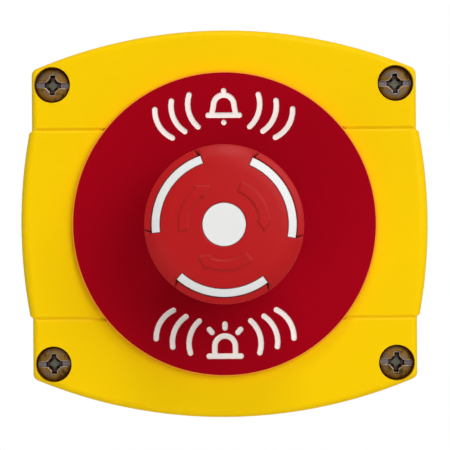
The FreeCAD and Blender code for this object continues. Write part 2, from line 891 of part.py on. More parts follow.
def shoulder_centre():
    """Centre of the shoulder arc, which leaves the dome without a kink."""
    share = "(shoulder_radius / dome_radius)"
    x = f"(dome_diameter / 2 * (1 - {share}))"
    dome_fall = "sqrt(pow(dome_radius; 2) - pow(dome_diameter / 2; 2))"
    height = f"(head_top - dome_radius + {dome_fall} * (1 - {share}))"
    return x, height


def dome_height(radius, raised="0"):
    return f"(head_top - dome_radius + sqrt(pow(dome_radius + {raised}; 2) - pow({radius}; 2)))"


def shoulder_height(radius, lowered="0"):
    x, height = shoulder_centre()
    return f"({height} + sqrt(pow(shoulder_radius - {lowered}; 2) - pow({radius} - {x}; 2)))"


def roof_profile(radius, lowered):
    """The roof's underside from the rim inwards, moved down by `lowered`."""
    level = f"{ROOF_UNDERSIDE} - {lowered}"
    return [
        (f"{radius} - roof_corner", f"{level} - roof_fall"),
        ("roof_flat_diameter / 2", level),
    ]


def draw_sector(sketch, inner, outer, half_angle):
    """Part of a ring about the +X side."""
    corners = []
    for radius, sign in ((inner, "-"), (outer, "-"), (outer, ""), (inner, "")):
        corners.append((f"({radius}) * cos({half_angle})", f"{sign}({radius}) * sin({half_angle})"))
    draw_outline(sketch, corners, bends={1: outer}, hollows={3: inner})


def make_mushroom_head():
    body = new_body("mushroom_head", FACE, turn="head_clocking")
    profile = new_sketch(body, "profile", "turning")
    outside = "head_diameter / 2"
    inside = "(head_diameter / 2 - skirt_thickness)"
    skirt = "(head_top - head_depth)"
    dome = "dome_diameter / 2"
    hole = "(dot_diameter / 2 + insert_gap)"
    draw_outline(profile, [
        (inside, skirt),
        (outside, skirt),
        (outside, shoulder_height(outside)),
        (dome, dome_height(dome)),
        (hole, dome_height(hole)),
        (hole, ROOF_UNDERSIDE),
        *reversed(roof_profile(inside, "0")),
        (inside, f"{ROOF_UNDERSIDE} - roof_fall - roof_corner"),
    ], bends={2: "shoulder_radius", 3: "dome_radius"})
    revolve(body, profile)
    radius = number(outside)
    rim = edges_of(body, lambda box: box.YLength < 0.01 and box.XMax > radius - 0.01)
    skirt_place = -number(skirt)
    rim = [name for name in rim if abs(body.Tip.Shape.getElement(name).BoundBox.YMax - skirt_place) > 0.1]
    dress(body, "Fillet", rim, "Radius", "head_edge_radius")

    window = new_sketch(body, "window", "front", "head_top")
    draw_sector(window, "arc_inner_radius", "arc_outer_radius", "arc_half_angle")
    opening = pocket(body, window, "roof_thickness + roof_fall + roof_corner")
    ledge = new_sketch(body, "ledge", "turning")
    beyond = "(head_diameter / 2 + ledge_depth)"
    inner_level = f"({shoulder_height('arc_outer_radius')} - ledge_depth)"
    rim_level = f"({shoulder_height(outside)} - ledge_rim_depth)"
    fall = f"({inner_level} - {rim_level}) / ({outside} - arc_outer_radius)"
    draw_outline(ledge, [
        (beyond, f"{rim_level} - {fall} * ledge_depth"),
        (beyond, "head_top"),
        ("arc_outer_radius", "head_top"),
        ("arc_outer_radius", inner_level),
    ])
    step = groove(body, ledge, "2 * arc_half_angle")
    notches = new_sketch(body, "notches", "front", shoulder_height("arc_outer_radius"))
    draw_notches(notches, "(arc_outer_radius - insert_gap)", beyond)
    ends = pocket(body, notches, "notch_depth")
    around_axis(body, [opening, step, ends], "3", -1)

    arrow = new_sketch(body, "arrow", "front", dome_height("arrow_outer_radius", "0"))
    draw_arrow(arrow)
    relief = pad(body, arrow, "2 * arrow_height + roof_corner", symmetric=True)
    around_axis(body, [relief], "3", 1)
    trim = new_sketch(body, "arrow_trim", "turning")
    near = "(arrow_inner_radius - 2 * arrow_barb_overhang)"
    far = "(arrow_outer_radius + 2 * arrow_barb_overhang)"
    above = "head_top + arrow_height + roof_corner"
    draw_outline(trim, [
        (far, dome_height(far, "arrow_height")),
        (far, above),
        (near, above),
        (near, dome_height(near, "arrow_height")),
    ], hollows={3: "dome_radius + arrow_height"})
    groove(body, trim)
    return body


def draw_notches(sketch, inner, outer):
    """A slanting notch from each outer corner of a white arc out through the head's rim."""
    start = "(arc_half_angle - notch_offset)"
    end = "(arc_half_angle - notch_offset - notch_slant)"
    corners = [
        (inner, f"({start} - notch_angle)"),
        (outer, f"({end} - notch_angle)"),
        (outer, end),
        (inner, start),
    ]
    upper = [(f"{radius} * cos({angle})", f"{radius} * sin({angle})") for radius, angle in corners]
    lower = [(across, f"-{up}") for across, up in reversed(upper)]
    draw_outline(sketch, upper)
    draw_outline(sketch, lower)


def draw_arrow(sketch):
    """A clockwise arrow bent round the dot."""
    def at(radius, angle):
        return f"({radius}) * cos({angle})", f"({radius}) * sin({angle})"

    inner = "arrow_inner_radius"
    outer = "arrow_outer_radius"
    draw_outline(sketch, [
        at(f"({inner} + {outer}) / 2", "arrow_tip_angle"),
        at(f"{outer} + arrow_barb_overhang", "arrow_barb_angle"),
        at(outer, "arrow_barb_angle"),
        at(outer, "arrow_tail_angle"),
        at(inner, "arrow_tail_angle"),
        at(inner, "arrow_barb_angle"),
        at(f"{inner} - arrow_barb_overhang", "arrow_barb_angle"),
    ], bends={2: outer}, hollows={4: inner})


def make_white_insert():
    """One moulding: a web under the roof, a hub for the stem, the dot and three ribs."""
    body = new_body("white_insert", FACE, turn="head_clocking")
    profile = new_sketch(body, "profile", "turning")
    rim = "(head_diameter / 2 - skirt_thickness)"
    plug = "(stem_plug_diameter / 2 + running_clearance)"
    hub = "hub_diameter / 2"
    dot = "dot_diameter / 2"
    base = "(spring_seat_height + spring_seat_thickness)"
    socket_top = "(spring_seat_height + spring_seat_thickness + stem_plug_height + running_clearance)"
    draw_outline(profile, [
        ("0", socket_top),
        (plug, socket_top),
        (plug, base),
        (hub, base),
        (hub, WEB_UNDERSIDE),
        *reversed(roof_profile(rim, "web_thickness")),
        *roof_profile(rim, "0"),
        (dot, ROOF_UNDERSIDE),
        (dot, dome_height(dot)),
        ("0", dome_height(dot)),
    ])
    revolve(body, profile)
    rib = new_sketch(body, "rib", "front", f"{ROOF_UNDERSIDE} - roof_fall - roof_corner")
    inner = "(arc_inner_radius + insert_gap)"
    outer = "(arc_outer_radius - rib_outer_gap)"
    draw_sector(rib, inner, outer, "arc_half_angle - insert_gap * 3")
    ribs = pad(body, rib, "roof_thickness + roof_fall + roof_corner")
    around_axis(body, [ribs], "3", 1)

    trim = new_sketch(body, "flush_trim", "turning")
    near = "(arc_inner_radius - insert_gap)"
    far = "(arc_outer_radius + insert_gap)"
    draw_outline(trim, [
        (far, shoulder_height(far)),
        (far, "head_top"),
        (near, "head_top"),
        (near, shoulder_height(near)),
    ], hollows={3: "shoulder_radius"})
    groove(body, trim)
    return body


def make_head_stem():
    """Stem with its plug for the head, spring seat, latch groove and snap end."""
    body = new_body("head_stem", FACE, turn="head_clocking")
    profile = new_sketch(body, "profile", "turning")
    stem = "stem_diameter / 2"
    neck = "stem_neck_diameter / 2"
    snap = "snap_diameter / 2"
    web_back = f"({PUSHER_FRONT} - pusher_web - running_clearance)"
    shoulder = f"({PUSHER_FRONT} + running_clearance)"
    latch = "(clip_height - clip_width / 2 + press_travel - clip_gap)"
    seat = "spring_seat_diameter / 2"
    seat_top = "(spring_seat_height + spring_seat_thickness)"
    plug = "stem_plug_diameter / 2"
    draw_outline(profile, [
        ("0", f"{web_back} - snap_length"),
        (f"{snap} - latch_groove_depth", f"{web_back} - snap_length"),
        (snap, f"{web_back} - snap_length + 2 * latch_groove_depth"),
        (snap, web_back),
        (neck, web_back),
        (neck, shoulder),
        (stem, shoulder),
        (stem, latch),
        (f"{stem} - latch_groove_depth", latch),
        (f"{stem} - latch_groove_depth", f"{latch} + latch_groove_width - latch_groove_depth"),
        (stem, f"{latch} + latch_groove_width"),
        (stem, "spring_seat_height"),
        (seat, "spring_seat_height"),
        (seat, seat_top),
        (plug, seat_top),
        (plug, f"{seat_top} + stem_plug_height"),
        ("0", f"{seat_top} + stem_plug_height"),
    ])
    revolve(body, profile)
    slot = new_sketch(body, "snap_slot", "front", f"{web_back} - snap_length")
    draw_centred(slot, "snap_diameter + 2 * running_clearance", "snap_slot_width")
    pocket(body, slot, "snap_length + pusher_web / 2", reverse=True)
    return body


def make_return_spring():
    body = new_body("return_spring", FACE)
    coil(
        body, "pocket_floor_height", "spring_seat_height",
        "return_spring_diameter", "return_spring_wire", "return_spring_pitch",
    )
    return body


def make_contact_pusher():
    """Cup that slides in the barrel, with two legs that press the plungers."""
    body = new_body("contact_pusher", FACE)
    profile = new_sketch(body, "profile", "turning")
    outside = f"{PUSHER_DIAMETER} / 2"
    inside = f"({PUSHER_DIAMETER} / 2 - pusher_wall)"
    hole = "(stem_neck_diameter / 2 + running_clearance)"
    web_back = f"{PUSHER_FRONT} - pusher_web"
    draw_outline(profile, [
        (hole, web_back),
        (inside, web_back),
        (inside, PUSHER_REAR),
        (outside, PUSHER_REAR),
        (outside, PUSHER_FRONT),
        (hole, PUSHER_FRONT),
    ])
    revolve(body, profile)
    legs = new_sketch(body, "legs", "front", PUSHER_REAR)
    half = "pusher_leg_height / 2"
    draw_rectangle(legs, "pusher_leg_inside", "pusher_leg_outside", minus(half), half)
    draw_rectangle(legs, "-pusher_leg_outside", "-pusher_leg_inside", minus(half), half)
    pad(body, legs, f"{web_back} - {PUSHER_REAR}")
    key = new_sketch(body, "key", "front", PUSHER_REAR)
    low = f"-{PUSHER_DIAMETER} / 2 - pusher_key_height"
    draw_rectangle(key, "-pusher_key_width / 2", "pusher_key_width / 2", low, minus(inside))
    pad(body, key, "barrel_reach / 2")
    return body


# Carrier and contact blocks

def make_block_carrier():
    """Collar on the barrel's end, with a set screw and four hooks for the contact blocks."""
    body = new_body("block_carrier", FACE)
    front = "(face_thickness + nut_thickness + carrier_gap)"
    plate = new_sketch(body, "plate", "front", "-block_standoff")
    draw_centred(plate, "carrier_width", "carrier_height")
    pad(body, plate, f"block_standoff - {front}")
    length = number(f"block_standoff - {front}")
    corners = edges_of(body, lambda box: box.YLength > length - 0.01)
    dress(body, "Fillet", corners, "Radius", "carrier_corner_radius")
    seat = new_sketch(body, "barrel_seat", "front", f"-{front}")
    draw_circle(seat, "barrel_diameter + 2 * carrier_seat_clearance")
    pocket(body, seat, f"barrel_reach + carrier_seat_clearance - {front}")
    opening = new_sketch(body, "opening", "front", "-barrel_reach")
    draw_circle(opening, "barrel_diameter - 2 * carrier_lip_width")
    pocket(body, opening, "block_standoff - barrel_reach")

    bore = new_sketch(body, "set_screw_bore", "top", "-carrier_height / 2")
    draw_circle(bore, "set_screw_diameter + 2 * running_clearance", "0", "set_screw_depth")
    pocket(body, bore, "(carrier_height - barrel_diameter) / 2", reverse=True)

    hook = new_sketch(body, "hook", "side", "block_pitch / 2")
    root = "(block_standoff - hook_thickness)"
    inner = "(block_height / 2 + hook_clearance)"
    outer = f"({inner} + hook_thickness)"
    nose = "(block_height / 2 - hook_notch_depth + hook_clearance)"
    nose_start = "(block_standoff + hook_notch_place + hook_clearance)"
    nose_end = "(block_standoff + hook_notch_place + hook_notch_length - hook_clearance)"
    draw_outline(hook, [
        (root, inner),
        (nose_start, inner),
        (nose_start, nose),
        (f"({nose_start} + {nose_end}) / 2", nose),
        (nose_end, inner),
        (nose_end, outer),
        (root, outer),
    ])
    hooks = pad(body, hook, "hook_width", symmetric=True)
    mirror_about(body, [hooks], ["YZ_Plane", "XY_Plane"])
    return body


def make_carrier_screw():
    """Set screw that holds the carrier on the barrel, entered from below."""
    body = new_body("carrier_screw", FACE)
    profile = new_sketch(body, "profile", "front", minus("set_screw_depth"))
    shank = "set_screw_diameter / 2"
    head = "set_screw_head_diameter / 2"
    seat = "-carrier_height / 2"
    tip = "-barrel_diameter / 2 - running_clearance"
    draw_outline(profile, [
        ("0", f"{seat} - set_screw_head_height"),
        (head, f"{seat} - set_screw_head_height"),
        (head, seat),
        (shank, seat),
        (shank, tip),
        ("0", tip),
    ])
    revolve(body, profile)
    return body


def block_body(prefix, name, side):
    """A body whose zero is the middle of a contact block's front face."""
    across = "block_pitch / 2" if side > 0 else "-block_pitch / 2"
    return new_body(f"{prefix}_{name}", f"{FACE} - block_standoff", across)


def draw_block_outline(sketch):
    """A contact block seen from its side, with a notch for the carrier's hook at each end."""
    half = "block_height / 2"
    notch = f"({half} - hook_notch_depth)"
    notch_start = "hook_notch_place"
    notch_end = "(hook_notch_place + hook_notch_length)"
    lower = [
        ("0", minus(half)),
        (notch_start, minus(half)),
        (notch_start, minus(notch)),
        (notch_end, minus(notch)),
        (notch_end, minus(half)),
        ("block_depth", minus(half)),
    ]
    upper = [(x, half if z == minus(half) else notch) for x, z in reversed(lower)]
    draw_outline(sketch, lower + upper)


def make_block_housing(prefix, side):
    """Tray that opens to the right, with a plunger slot, partitions and terminal openings."""
    body = block_body(prefix, "housing", side)
    left = "-block_width / 2"
    floor = f"({left} + block_wall)"
    tray = new_sketch(body, "tray", "side", left)
    draw_block_outline(tray)
    pad(body, tray, "block_width - side_cover_thickness")
    chamber = new_sketch(body, "chamber", "side", floor)
    inner = "(block_height / 2 - block_wall)"
    rear = "(block_depth - block_wall)"
    draw_rectangle(chamber, "block_wall", rear, minus(inner), inner)
    hollow = "block_width - block_wall - side_cover_thickness"
    pocket(body, chamber, hollow, reverse=True)

    partitions = new_sketch(body, "partitions", "side", floor)
    near = "partition_place"
    far = "(partition_place + partition_thickness)"
    draw_rectangle(partitions, "partition_start", rear, near, far)
    draw_rectangle(partitions, "partition_start", rear, minus(far), minus(near))
    pad(body, partitions, hollow)
    post = new_sketch(body, "spring_post", "front", minus(rear))
    draw_circle(post, "spring_post_diameter")
    pad(body, post, "spring_post_length")

    slot = new_sketch(body, "plunger_slot", "front")
    draw_centred(slot, "plunger_width + 2 * running_clearance", "plunger_height + 2 * running_clearance")
    pocket(body, slot, "block_wall")
    access = new_sketch(body, "screw_access", "front", minus(rear))
    for sign in ("", "-"):
        draw_circle(access, "terminal_access_diameter", "0", f"{sign}terminal_spacing / 2")
    pocket(body, access, "block_wall")
    entry = new_sketch(body, "wire_entry", "top", "block_height / 2")
    entry_start = "clamp_leg_place + strip_thickness"
    entry_end = f"{entry_start} + wire_entry_length"
    draw_rectangle(entry, "-wire_entry_width / 2", "wire_entry_width / 2", entry_start, entry_end)
    cut = pocket(body, entry, "block_wall")
    mirror_about(body, [cut], ["XY_Plane"], sign=-1)
    return body


def make_side_cover(prefix, side):
    body = block_body(prefix, "side_cover", side)
    plate = new_sketch(body, "plate", "side", "block_width / 2 - side_cover_thickness")
    draw_block_outline(plate)
    pad(body, plate, "side_cover_thickness")
    return body


def make_plunger(prefix, side, bridge_place):
    body = block_body(prefix, "plunger", side)
    half = "plunger_height / 2"
    shoulder = "(block_wall + running_clearance)"
    tip = new_sketch(body, "tip", "side")
    end = "-block_standoff + barrel_reach + pusher_overhang + plunger_gap"
    draw_rectangle(tip, end, shoulder, minus(half), half)
    pad(body, tip, "plunger_width", symmetric=True)
    wide = new_sketch(body, "guide", "side")
    draw_rectangle(wide, shoulder, "plunger_end", minus(half), half)
    pad(body, wide, "plunger_body_width", symmetric=True)
    window = new_sketch(body, "window", "top")
    draw_rectangle(
        window,
        "-bridge_width / 2 - running_clearance",
        "bridge_width / 2 + running_clearance",
        f"{bridge_place} - running_clearance",
        f"{bridge_place} + strip_thickness + running_clearance",
    )
    pocket(body, window, "plunger_height", symmetric=True)
    return body


def make_rivets(body, place):
    """Two contact rivets from `place` towards the wall."""
    sketch = new_sketch(body, "rivets", "front", minus(place))
    for sign in ("", "-"):
        draw_circle(sketch, "rivet_diameter", "0", f"{sign}rivet_spacing / 2")
    pad(body, sketch, "rivet_height", reverse=True)


def make_bridge(prefix, side, place, rivet_place):
    """Moving contact that passes through the plunger."""
    body = block_body(prefix, "bridge", side)
    bar = new_sketch(body, "bar", "top")
    draw_rectangle(bar, "-bridge_width / 2", "bridge_width / 2", place, f"{place} + strip_thickness")
    pad(body, bar, "bridge_length", symmetric=True)
    make_rivets(body, rivet_place)
    return body


def make_terminal(prefix, name, side, sign, place, rivet_place):
    """Strip from a fixed contact round to the clamp under a terminal screw."""
    body = block_body(prefix, name, side)
    strip = new_sketch(body, "strip", "side")
    outer = "(block_height / 2 - block_wall)"
    inner = f"({outer} - strip_thickness)"
    clamp_back = "(clamp_leg_place + strip_thickness)"
    corners = [
        (place, "strip_inner_end"),
        (f"{place} + strip_thickness", "strip_inner_end"),
        (f"{place} + strip_thickness", inner),
        ("clamp_leg_place", inner),
        ("clamp_leg_place", "clamp_leg_end"),
        (clamp_back, "clamp_leg_end"),
        (clamp_back, outer),
        (place, outer),
    ]
    draw_outline(strip, [(x, f"{sign}{z}") for x, z in corners])
    pad(body, strip, "strip_width", symmetric=True)
    rivet = new_sketch(body, "rivet", "front", minus(rivet_place))
    draw_circle(rivet, "rivet_diameter", "0", f"{sign}rivet_spacing / 2")
    pad(body, rivet, "rivet_height", reverse=True)
    hole = new_sketch(body, "hole", "front", minus("clamp_leg_place"))
    hole_diameter = "terminal_screw_diameter + 2 * terminal_hole_clearance"
    draw_circle(hole, hole_diameter, "0", f"{sign}terminal_spacing / 2")
    pocket(body, hole, "strip_thickness")
    return body


def make_terminal_screws(prefix, side):
    """Two screws with captive washers, entered from the wall side."""
    body = block_body(prefix, "terminal_screws", side)
    profile = new_sketch(body, "profile", "turning", "terminal_spacing / 2")
    head_end = "(-block_depth + block_wall)"
    washer_rear = f"({head_end} + terminal_head_height)"
    washer_front = f"({washer_rear} + terminal_washer_thickness)"
    tip = f"({washer_front} + terminal_screw_length)"
    shank = "terminal_screw_diameter / 2"
    draw_outline(profile, [
        ("0", head_end),
        ("terminal_head_diameter / 2", head_end),
        ("terminal_head_diameter / 2", washer_rear),
        ("terminal_washer_diameter / 2", washer_rear),
        ("terminal_washer_diameter / 2", washer_front),
        (shank, washer_front),
        (shank, tip),
        ("0", tip),
    ])
    screw = revolve(body, profile)
    mirror_about(body, [screw], ["XY_Plane"])
    return body


def make_contact_spring(prefix, side):
    body = block_body(prefix, "spring", side)
    coil(
        body, "(-block_depth + block_wall)", "(-plunger_end)",
        "contact_spring_diameter", "contact_spring_wire", "contact_spring_pitch",
    )
    return body


def make_contact_block(prefix, side, strip, strip_rivet, bridge, bridge_rivet):
    return [
        make_block_housing(prefix, side),
        make_side_cover(prefix, side),
        make_plunger(prefix, side, bridge),
        make_bridge(prefix, side, bridge, bridge_rivet),
        make_contact_spring(prefix, side),
        make_terminal(prefix, "terminal_upper", side, "", strip, strip_rivet),
        make_terminal(prefix, "terminal_lower", side, "-", strip, strip_rivet),
        make_terminal_screws(prefix, side),
    ]


def make_closed_block():
    """Contact that opens when the head is pressed: its bridge lies behind the fixed contacts."""
    strip = "closed_strip_place"
    strip_rivet = "(closed_strip_place + strip_thickness)"
    bridge_rivet = f"({strip_rivet} + rivet_height + contact_gap)"
    bridge = f"({bridge_rivet} + rivet_height)"
    return make_contact_block("nc", -1, strip, strip_rivet, bridge, bridge_rivet)


def make_open_block():
    """Contact that closes when the head is pressed: its bridge lies in front of the fixed contacts."""
    bridge = "open_bridge_place"
    bridge_rivet = "(open_bridge_place + strip_thickness)"
    strip_rivet = f"({bridge_rivet} + rivet_height + press_travel + contact_gap)"
    strip = f"({strip_rivet} + rivet_height)"
    return make_contact_block("no", 1, strip, strip_rivet, bridge, bridge_rivet)


def make_all():
    single = [
        make_back_box,
        make_box_gasket,
        make_front_cover,
        make_cover_screws,
        make_threaded_inserts,
        make_legend_plate,
        make_bezel_gasket,
        make_actuator_body,
        make_stem_seal,
        make_latch_clip,
        make_fixing_nut,
        make_mushroom_head,
        make_white_insert,
        make_head_stem,
        make_return_spring,
        make_contact_pusher,
        make_block_carrier,
        make_carrier_screw,
    ]
    return [make() for make in single] + make_closed_block() + make_open_block()


def write(bodies):
    doc.removeObject(reader.Name)
    doc.recompute()
    for item in doc.Objects:
        if "Invalid" in item.State or "Error" in item.State:
            raise RuntimeError(f"{item.Label}: {item.State}")
    os.makedirs("parts", exist_ok=True)
    for body in bodies:
        if body.Shape.isNull() or not body.Shape.isValid():
            raise RuntimeError(f"{body.Label}: no valid shape")
    for body in bodies:
        body.Shape.exportStep(os.path.join("parts", f"{body.Label}.step"))


write(make_all())
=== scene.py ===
import json
import math

import bmesh
import bpy
from mathutils import Matrix, Vector


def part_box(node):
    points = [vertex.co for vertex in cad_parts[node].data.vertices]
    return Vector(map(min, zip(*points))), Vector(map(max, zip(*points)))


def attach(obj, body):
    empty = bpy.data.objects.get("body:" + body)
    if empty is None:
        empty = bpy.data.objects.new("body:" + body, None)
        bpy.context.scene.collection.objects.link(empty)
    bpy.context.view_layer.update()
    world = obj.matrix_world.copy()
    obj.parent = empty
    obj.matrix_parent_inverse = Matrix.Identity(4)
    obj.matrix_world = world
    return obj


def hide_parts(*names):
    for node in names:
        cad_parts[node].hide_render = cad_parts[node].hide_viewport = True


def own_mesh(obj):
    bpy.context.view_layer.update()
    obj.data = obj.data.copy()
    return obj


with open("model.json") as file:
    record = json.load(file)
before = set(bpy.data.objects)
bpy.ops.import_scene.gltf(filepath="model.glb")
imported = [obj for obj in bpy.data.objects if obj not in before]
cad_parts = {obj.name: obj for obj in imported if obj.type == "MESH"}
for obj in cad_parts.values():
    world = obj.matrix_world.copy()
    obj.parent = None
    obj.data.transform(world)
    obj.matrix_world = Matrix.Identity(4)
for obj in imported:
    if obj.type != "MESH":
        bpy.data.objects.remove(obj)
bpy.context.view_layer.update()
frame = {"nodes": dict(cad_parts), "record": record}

nodes = frame["nodes"]

MM = 0.001
SAME_LEVEL = 0.001 * MM
SLIVER = 0.002 * MM
ALONG_Y = (math.pi / 2, 0, 0)

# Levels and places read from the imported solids
PLATE_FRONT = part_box("legend_plate")[0].y
PLATE_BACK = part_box("legend_plate")[1].y
PLATE_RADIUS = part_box("legend_plate")[1].x
SCREW_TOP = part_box("cover_screws")[0].y
SCREW_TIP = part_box("cover_screws")[1].y
SCREW_HEAD_RADIUS = 4.3 * MM
SCREW_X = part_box("cover_screws")[1].x - SCREW_HEAD_RADIUS
SCREW_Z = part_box("cover_screws")[1].z - SCREW_HEAD_RADIUS


# Helpers for meshes

def pick(piece):
    """Make the piece the only one selected, and the active one."""
    bpy.ops.object.select_all(action="DESELECT")
    piece.select_set(True)
    bpy.context.view_layer.objects.active = piece
    return piece


def settle(piece):
    """Move the piece's place, turn and scale into its mesh."""
    pick(piece)
    bpy.ops.object.transform_apply(location=True, rotation=True, scale=True)
    return piece


def new_piece(name):
    """Name the primitive just added, and settle it."""
    piece = bpy.context.object
    piece.name = name
    piece.data.name = name
    return settle(piece)


def move_to(piece, matrix):
    piece.matrix_world = matrix
    return settle(piece)


def disc_blank(name, vertices, radius, depth, middle):
    """A cylinder along y on the middle axis."""
    bpy.ops.mesh.primitive_cylinder_add(
        vertices=vertices, radius=radius, depth=depth, location=(0, middle, 0), rotation=ALONG_Y
    )
    return new_piece(name)


def block_blank(name, size, middle):
    bpy.ops.mesh.primitive_cube_add(size=1, location=middle)
    bpy.context.object.scale = size
    return new_piece(name)


def edit(piece, mode="FACE"):
    """Go into edit mode, for faces or edges, with nothing selected."""
    pick(piece)
    bpy.ops.object.mode_set(mode="EDIT")
    bpy.context.tool_settings.mesh_select_mode = (False, mode == "EDGE", mode == "FACE")
    bpy.ops.mesh.select_all(action="DESELECT")


def choose(piece, kind, test):
    """In edit mode, select only the faces or edges that pass the test."""
    bpy.ops.mesh.select_all(action="DESELECT")
    mesh = bmesh.from_edit_mesh(piece.data)
    for element in getattr(mesh, kind):
        if test(element):
            element.select_set(True)
    mesh.select_flush_mode()
    bmesh.update_edit_mesh(piece.data)


def done():
    bpy.ops.object.mode_set(mode="OBJECT")


def face_at(level, way):
    """A test for the flat faces at a level of y that look forwards (-1) or to the wall (+1)."""
    def test(face):
        return (abs(face.calc_center_median().y - level) < SAME_LEVEL
                and face.normal.y * way > 0.9)
    return test


def looks_back(face):
    return face.normal.y > 0.9


def modify(piece, kind, **settings):
    """Add a modifier and apply it."""
    pick(piece)
    modifier = piece.modifiers.new(kind.title(), kind)
    for name, value in settings.items():
        setattr(modifier, name, value)
    bpy.ops.object.modifier_apply(modifier=modifier.name)


def cut(piece, tools):
    """Cut the tools out of the piece; the cut faces take the tools' material."""
    shelf = bpy.data.collections.new("tools")
    bpy.context.scene.collection.children.link(shelf)
    for tool in tools:
        shelf.objects.link(tool)
    modify(piece, "BOOLEAN", operation="DIFFERENCE", operand_type="COLLECTION",
           collection=shelf, solver="EXACT", material_mode="TRANSFER")
    for tool in tools:
        bpy.data.objects.remove(tool)
    bpy.data.collections.remove(shelf)
    edit(piece)
    bpy.ops.mesh.select_all(action="SELECT")
    bpy.ops.mesh.remove_doubles(threshold=SLIVER)
    bpy.ops.mesh.dissolve_degenerate(threshold=SLIVER)
    bpy.ops.mesh.delete_loose()
    done()


def face_outwards():
    """In edit mode, turn every face of a closed mesh to look outwards."""
    bpy.ops.mesh.select_all(action="SELECT")
    bpy.ops.mesh.normals_make_consistent(inside=False)


def close_ends(piece):
    """Fill the two open ends of a swept tube or ridge."""
    edit(piece, "EDGE")
    bpy.ops.mesh.select_non_manifold(extend=False)
    bpy.ops.mesh.edge_face_add()
    face_outwards()
    done()


def put_faces_in_order(piece):
    """Write the faces in one fixed order, so that a cut with the piece is the same each run."""
    points = [tuple(vertex.co) for vertex in piece.data.vertices]
    faces = []
    for face in piece.data.polygons:
        corners = list(face.vertices)
        first = corners.index(min(corners))
        faces.append(corners[first:] + corners[:first])
    piece.data.clear_geometry()
    piece.data.from_pydata(points, [], sorted(faces))


def second_finish(piece, material, test):
    """Give one more material to the faces that pass the test."""
    piece.data.materials.append(material)
    edit(piece)
    choose(piece, "faces", test)
    piece.active_material_index = 1
    bpy.ops.object.material_slot_assign()
    done()


def smooth(piece, angle):
    pick(piece)
    bpy.ops.object.shade_smooth_by_angle(angle=math.radians(angle))


def copy_of(piece, name, matrix):
    twin = piece.copy()
    twin.data = piece.data.copy()
    twin.name = name
    twin.data.name = name
    bpy.context.scene.collection.objects.link(twin)
    return move_to(twin, matrix)


def join(pieces, name):
    pick(pieces[0])
    for piece in pieces:
        piece.select_set(True)
    bpy.ops.object.join()
    pieces[0].name = name
    pieces[0].data.name = name
    return pieces[0]


# Helpers for materials

# Nearly all of a noise's values lie between these
NOISE_LOW = 0.3
NOISE_HIGH = 0.7


def put(tree, kind, inputs=None, **settings):
    """A node; each of its inputs is a value, or another node's output to link."""
    node = tree.nodes.new(kind)
    for name, value in settings.items():
        setattr(node, name, value)
    for name, value in (inputs or {}).items():
        fill_socket(tree, node.inputs[name], value)
    return node


def fill_socket(tree, socket, value):
    if isinstance(value, bpy.types.NodeSocket):
        tree.links.new(value, socket)
    else:
        socket.default_value = value


def new_effect(name, inputs, outputs):
    """A shader node group with named inputs and outputs."""
    effect = bpy.data.node_groups.new(name, "ShaderNodeTree")
    kinds = {"colour": "NodeSocketColor", "number": "NodeSocketFloat"}
    for label, value in inputs.items():
        kind = "colour" if isinstance(value, tuple) else "number"
        socket = effect.interface.new_socket(label, in_out="INPUT", socket_type=kinds[kind])
        socket.default_value = value
    for label, kind in outputs.items():
        effect.interface.new_socket(label, in_out="OUTPUT", socket_type=kinds[kind])
    return effect, effect.nodes.new("NodeGroupInput"), effect.nodes.new("NodeGroupOutput")


def place_effect(tree, effect, **inputs):
    group = put(tree, "ShaderNodeGroup", node_tree=effect)
    for label, value in inputs.items():
        fill_socket(tree, group.inputs[label.replace("_", " ")], value)
    return group


def noise(tree, scale, detail=3.0, where=None):
    """Noise over the object's own coordinates, or the given ones; scale is features a metre."""
    where = where or put(tree, "ShaderNodeTexCoord").outputs["Object"]
    inputs = {"Vector": where, "Scale": scale, "Detail": detail, "Roughness": 0.55}
    return put(tree, "ShaderNodeTexNoise", inputs).outputs["Fac"]


def spread(tree, value, low, high, start=0.0, end=1.0):
    """The value moved from start..end to low..high, and held within it."""
    inputs = {"Value": value, "From Min": start, "From Max": end, "To Min": low, "To Max": high}
    return put(tree, "ShaderNodeMapRange", inputs).outputs["Result"]


def maths(tree, operation, *values):
    node = put(tree, "ShaderNodeMath", dict(enumerate(values)), operation=operation)
    return node.outputs["Value"]


def around(tree, value, middle, reach):
    """A noise as a swing round the middle, by the reach to each side."""
    low = maths(tree, "SUBTRACT", middle, reach)
    high = maths(tree, "ADD", middle, reach)
    return spread(tree, value, low, high, NOISE_LOW, NOISE_HIGH)


def vary_brightness(tree, colour, pattern, reach):
    brightness = around(tree, pattern, 1.0, reach)
    node = put(tree, "ShaderNodeHueSaturation", {"Value": brightness, "Color": colour})
    return node.outputs["Color"]


def blend_colours(tree, share, first, second):
    mix = put(tree, "ShaderNodeMix", data_type="RGBA")
    for socket, value in (("Factor_Float", share), ("A_Color", first), ("B_Color", second)):
        entry = next(item for item in mix.inputs if item.identifier == socket)
        fill_socket(tree, entry, value)
    return next(item for item in mix.outputs if item.identifier == "Result_Color")


def rgb(red, green, blue):
    """A colour given by its screen values from 0 to 255, as linear light."""
    linear = [(value / 255 / 12.92) if value <= 10 else ((value / 255 + 0.055) / 1.055) ** 2.4
              for value in (red, green, blue)]
    return (*linear, 1.0)


def shift(colour, factor, lift=0.0):
    """The colour made darker or brighter, at most up to white."""
    return tuple(min(1.0, value * factor + lift) for value in colour[:3]) + (1.0,)


# Effects that several materials share

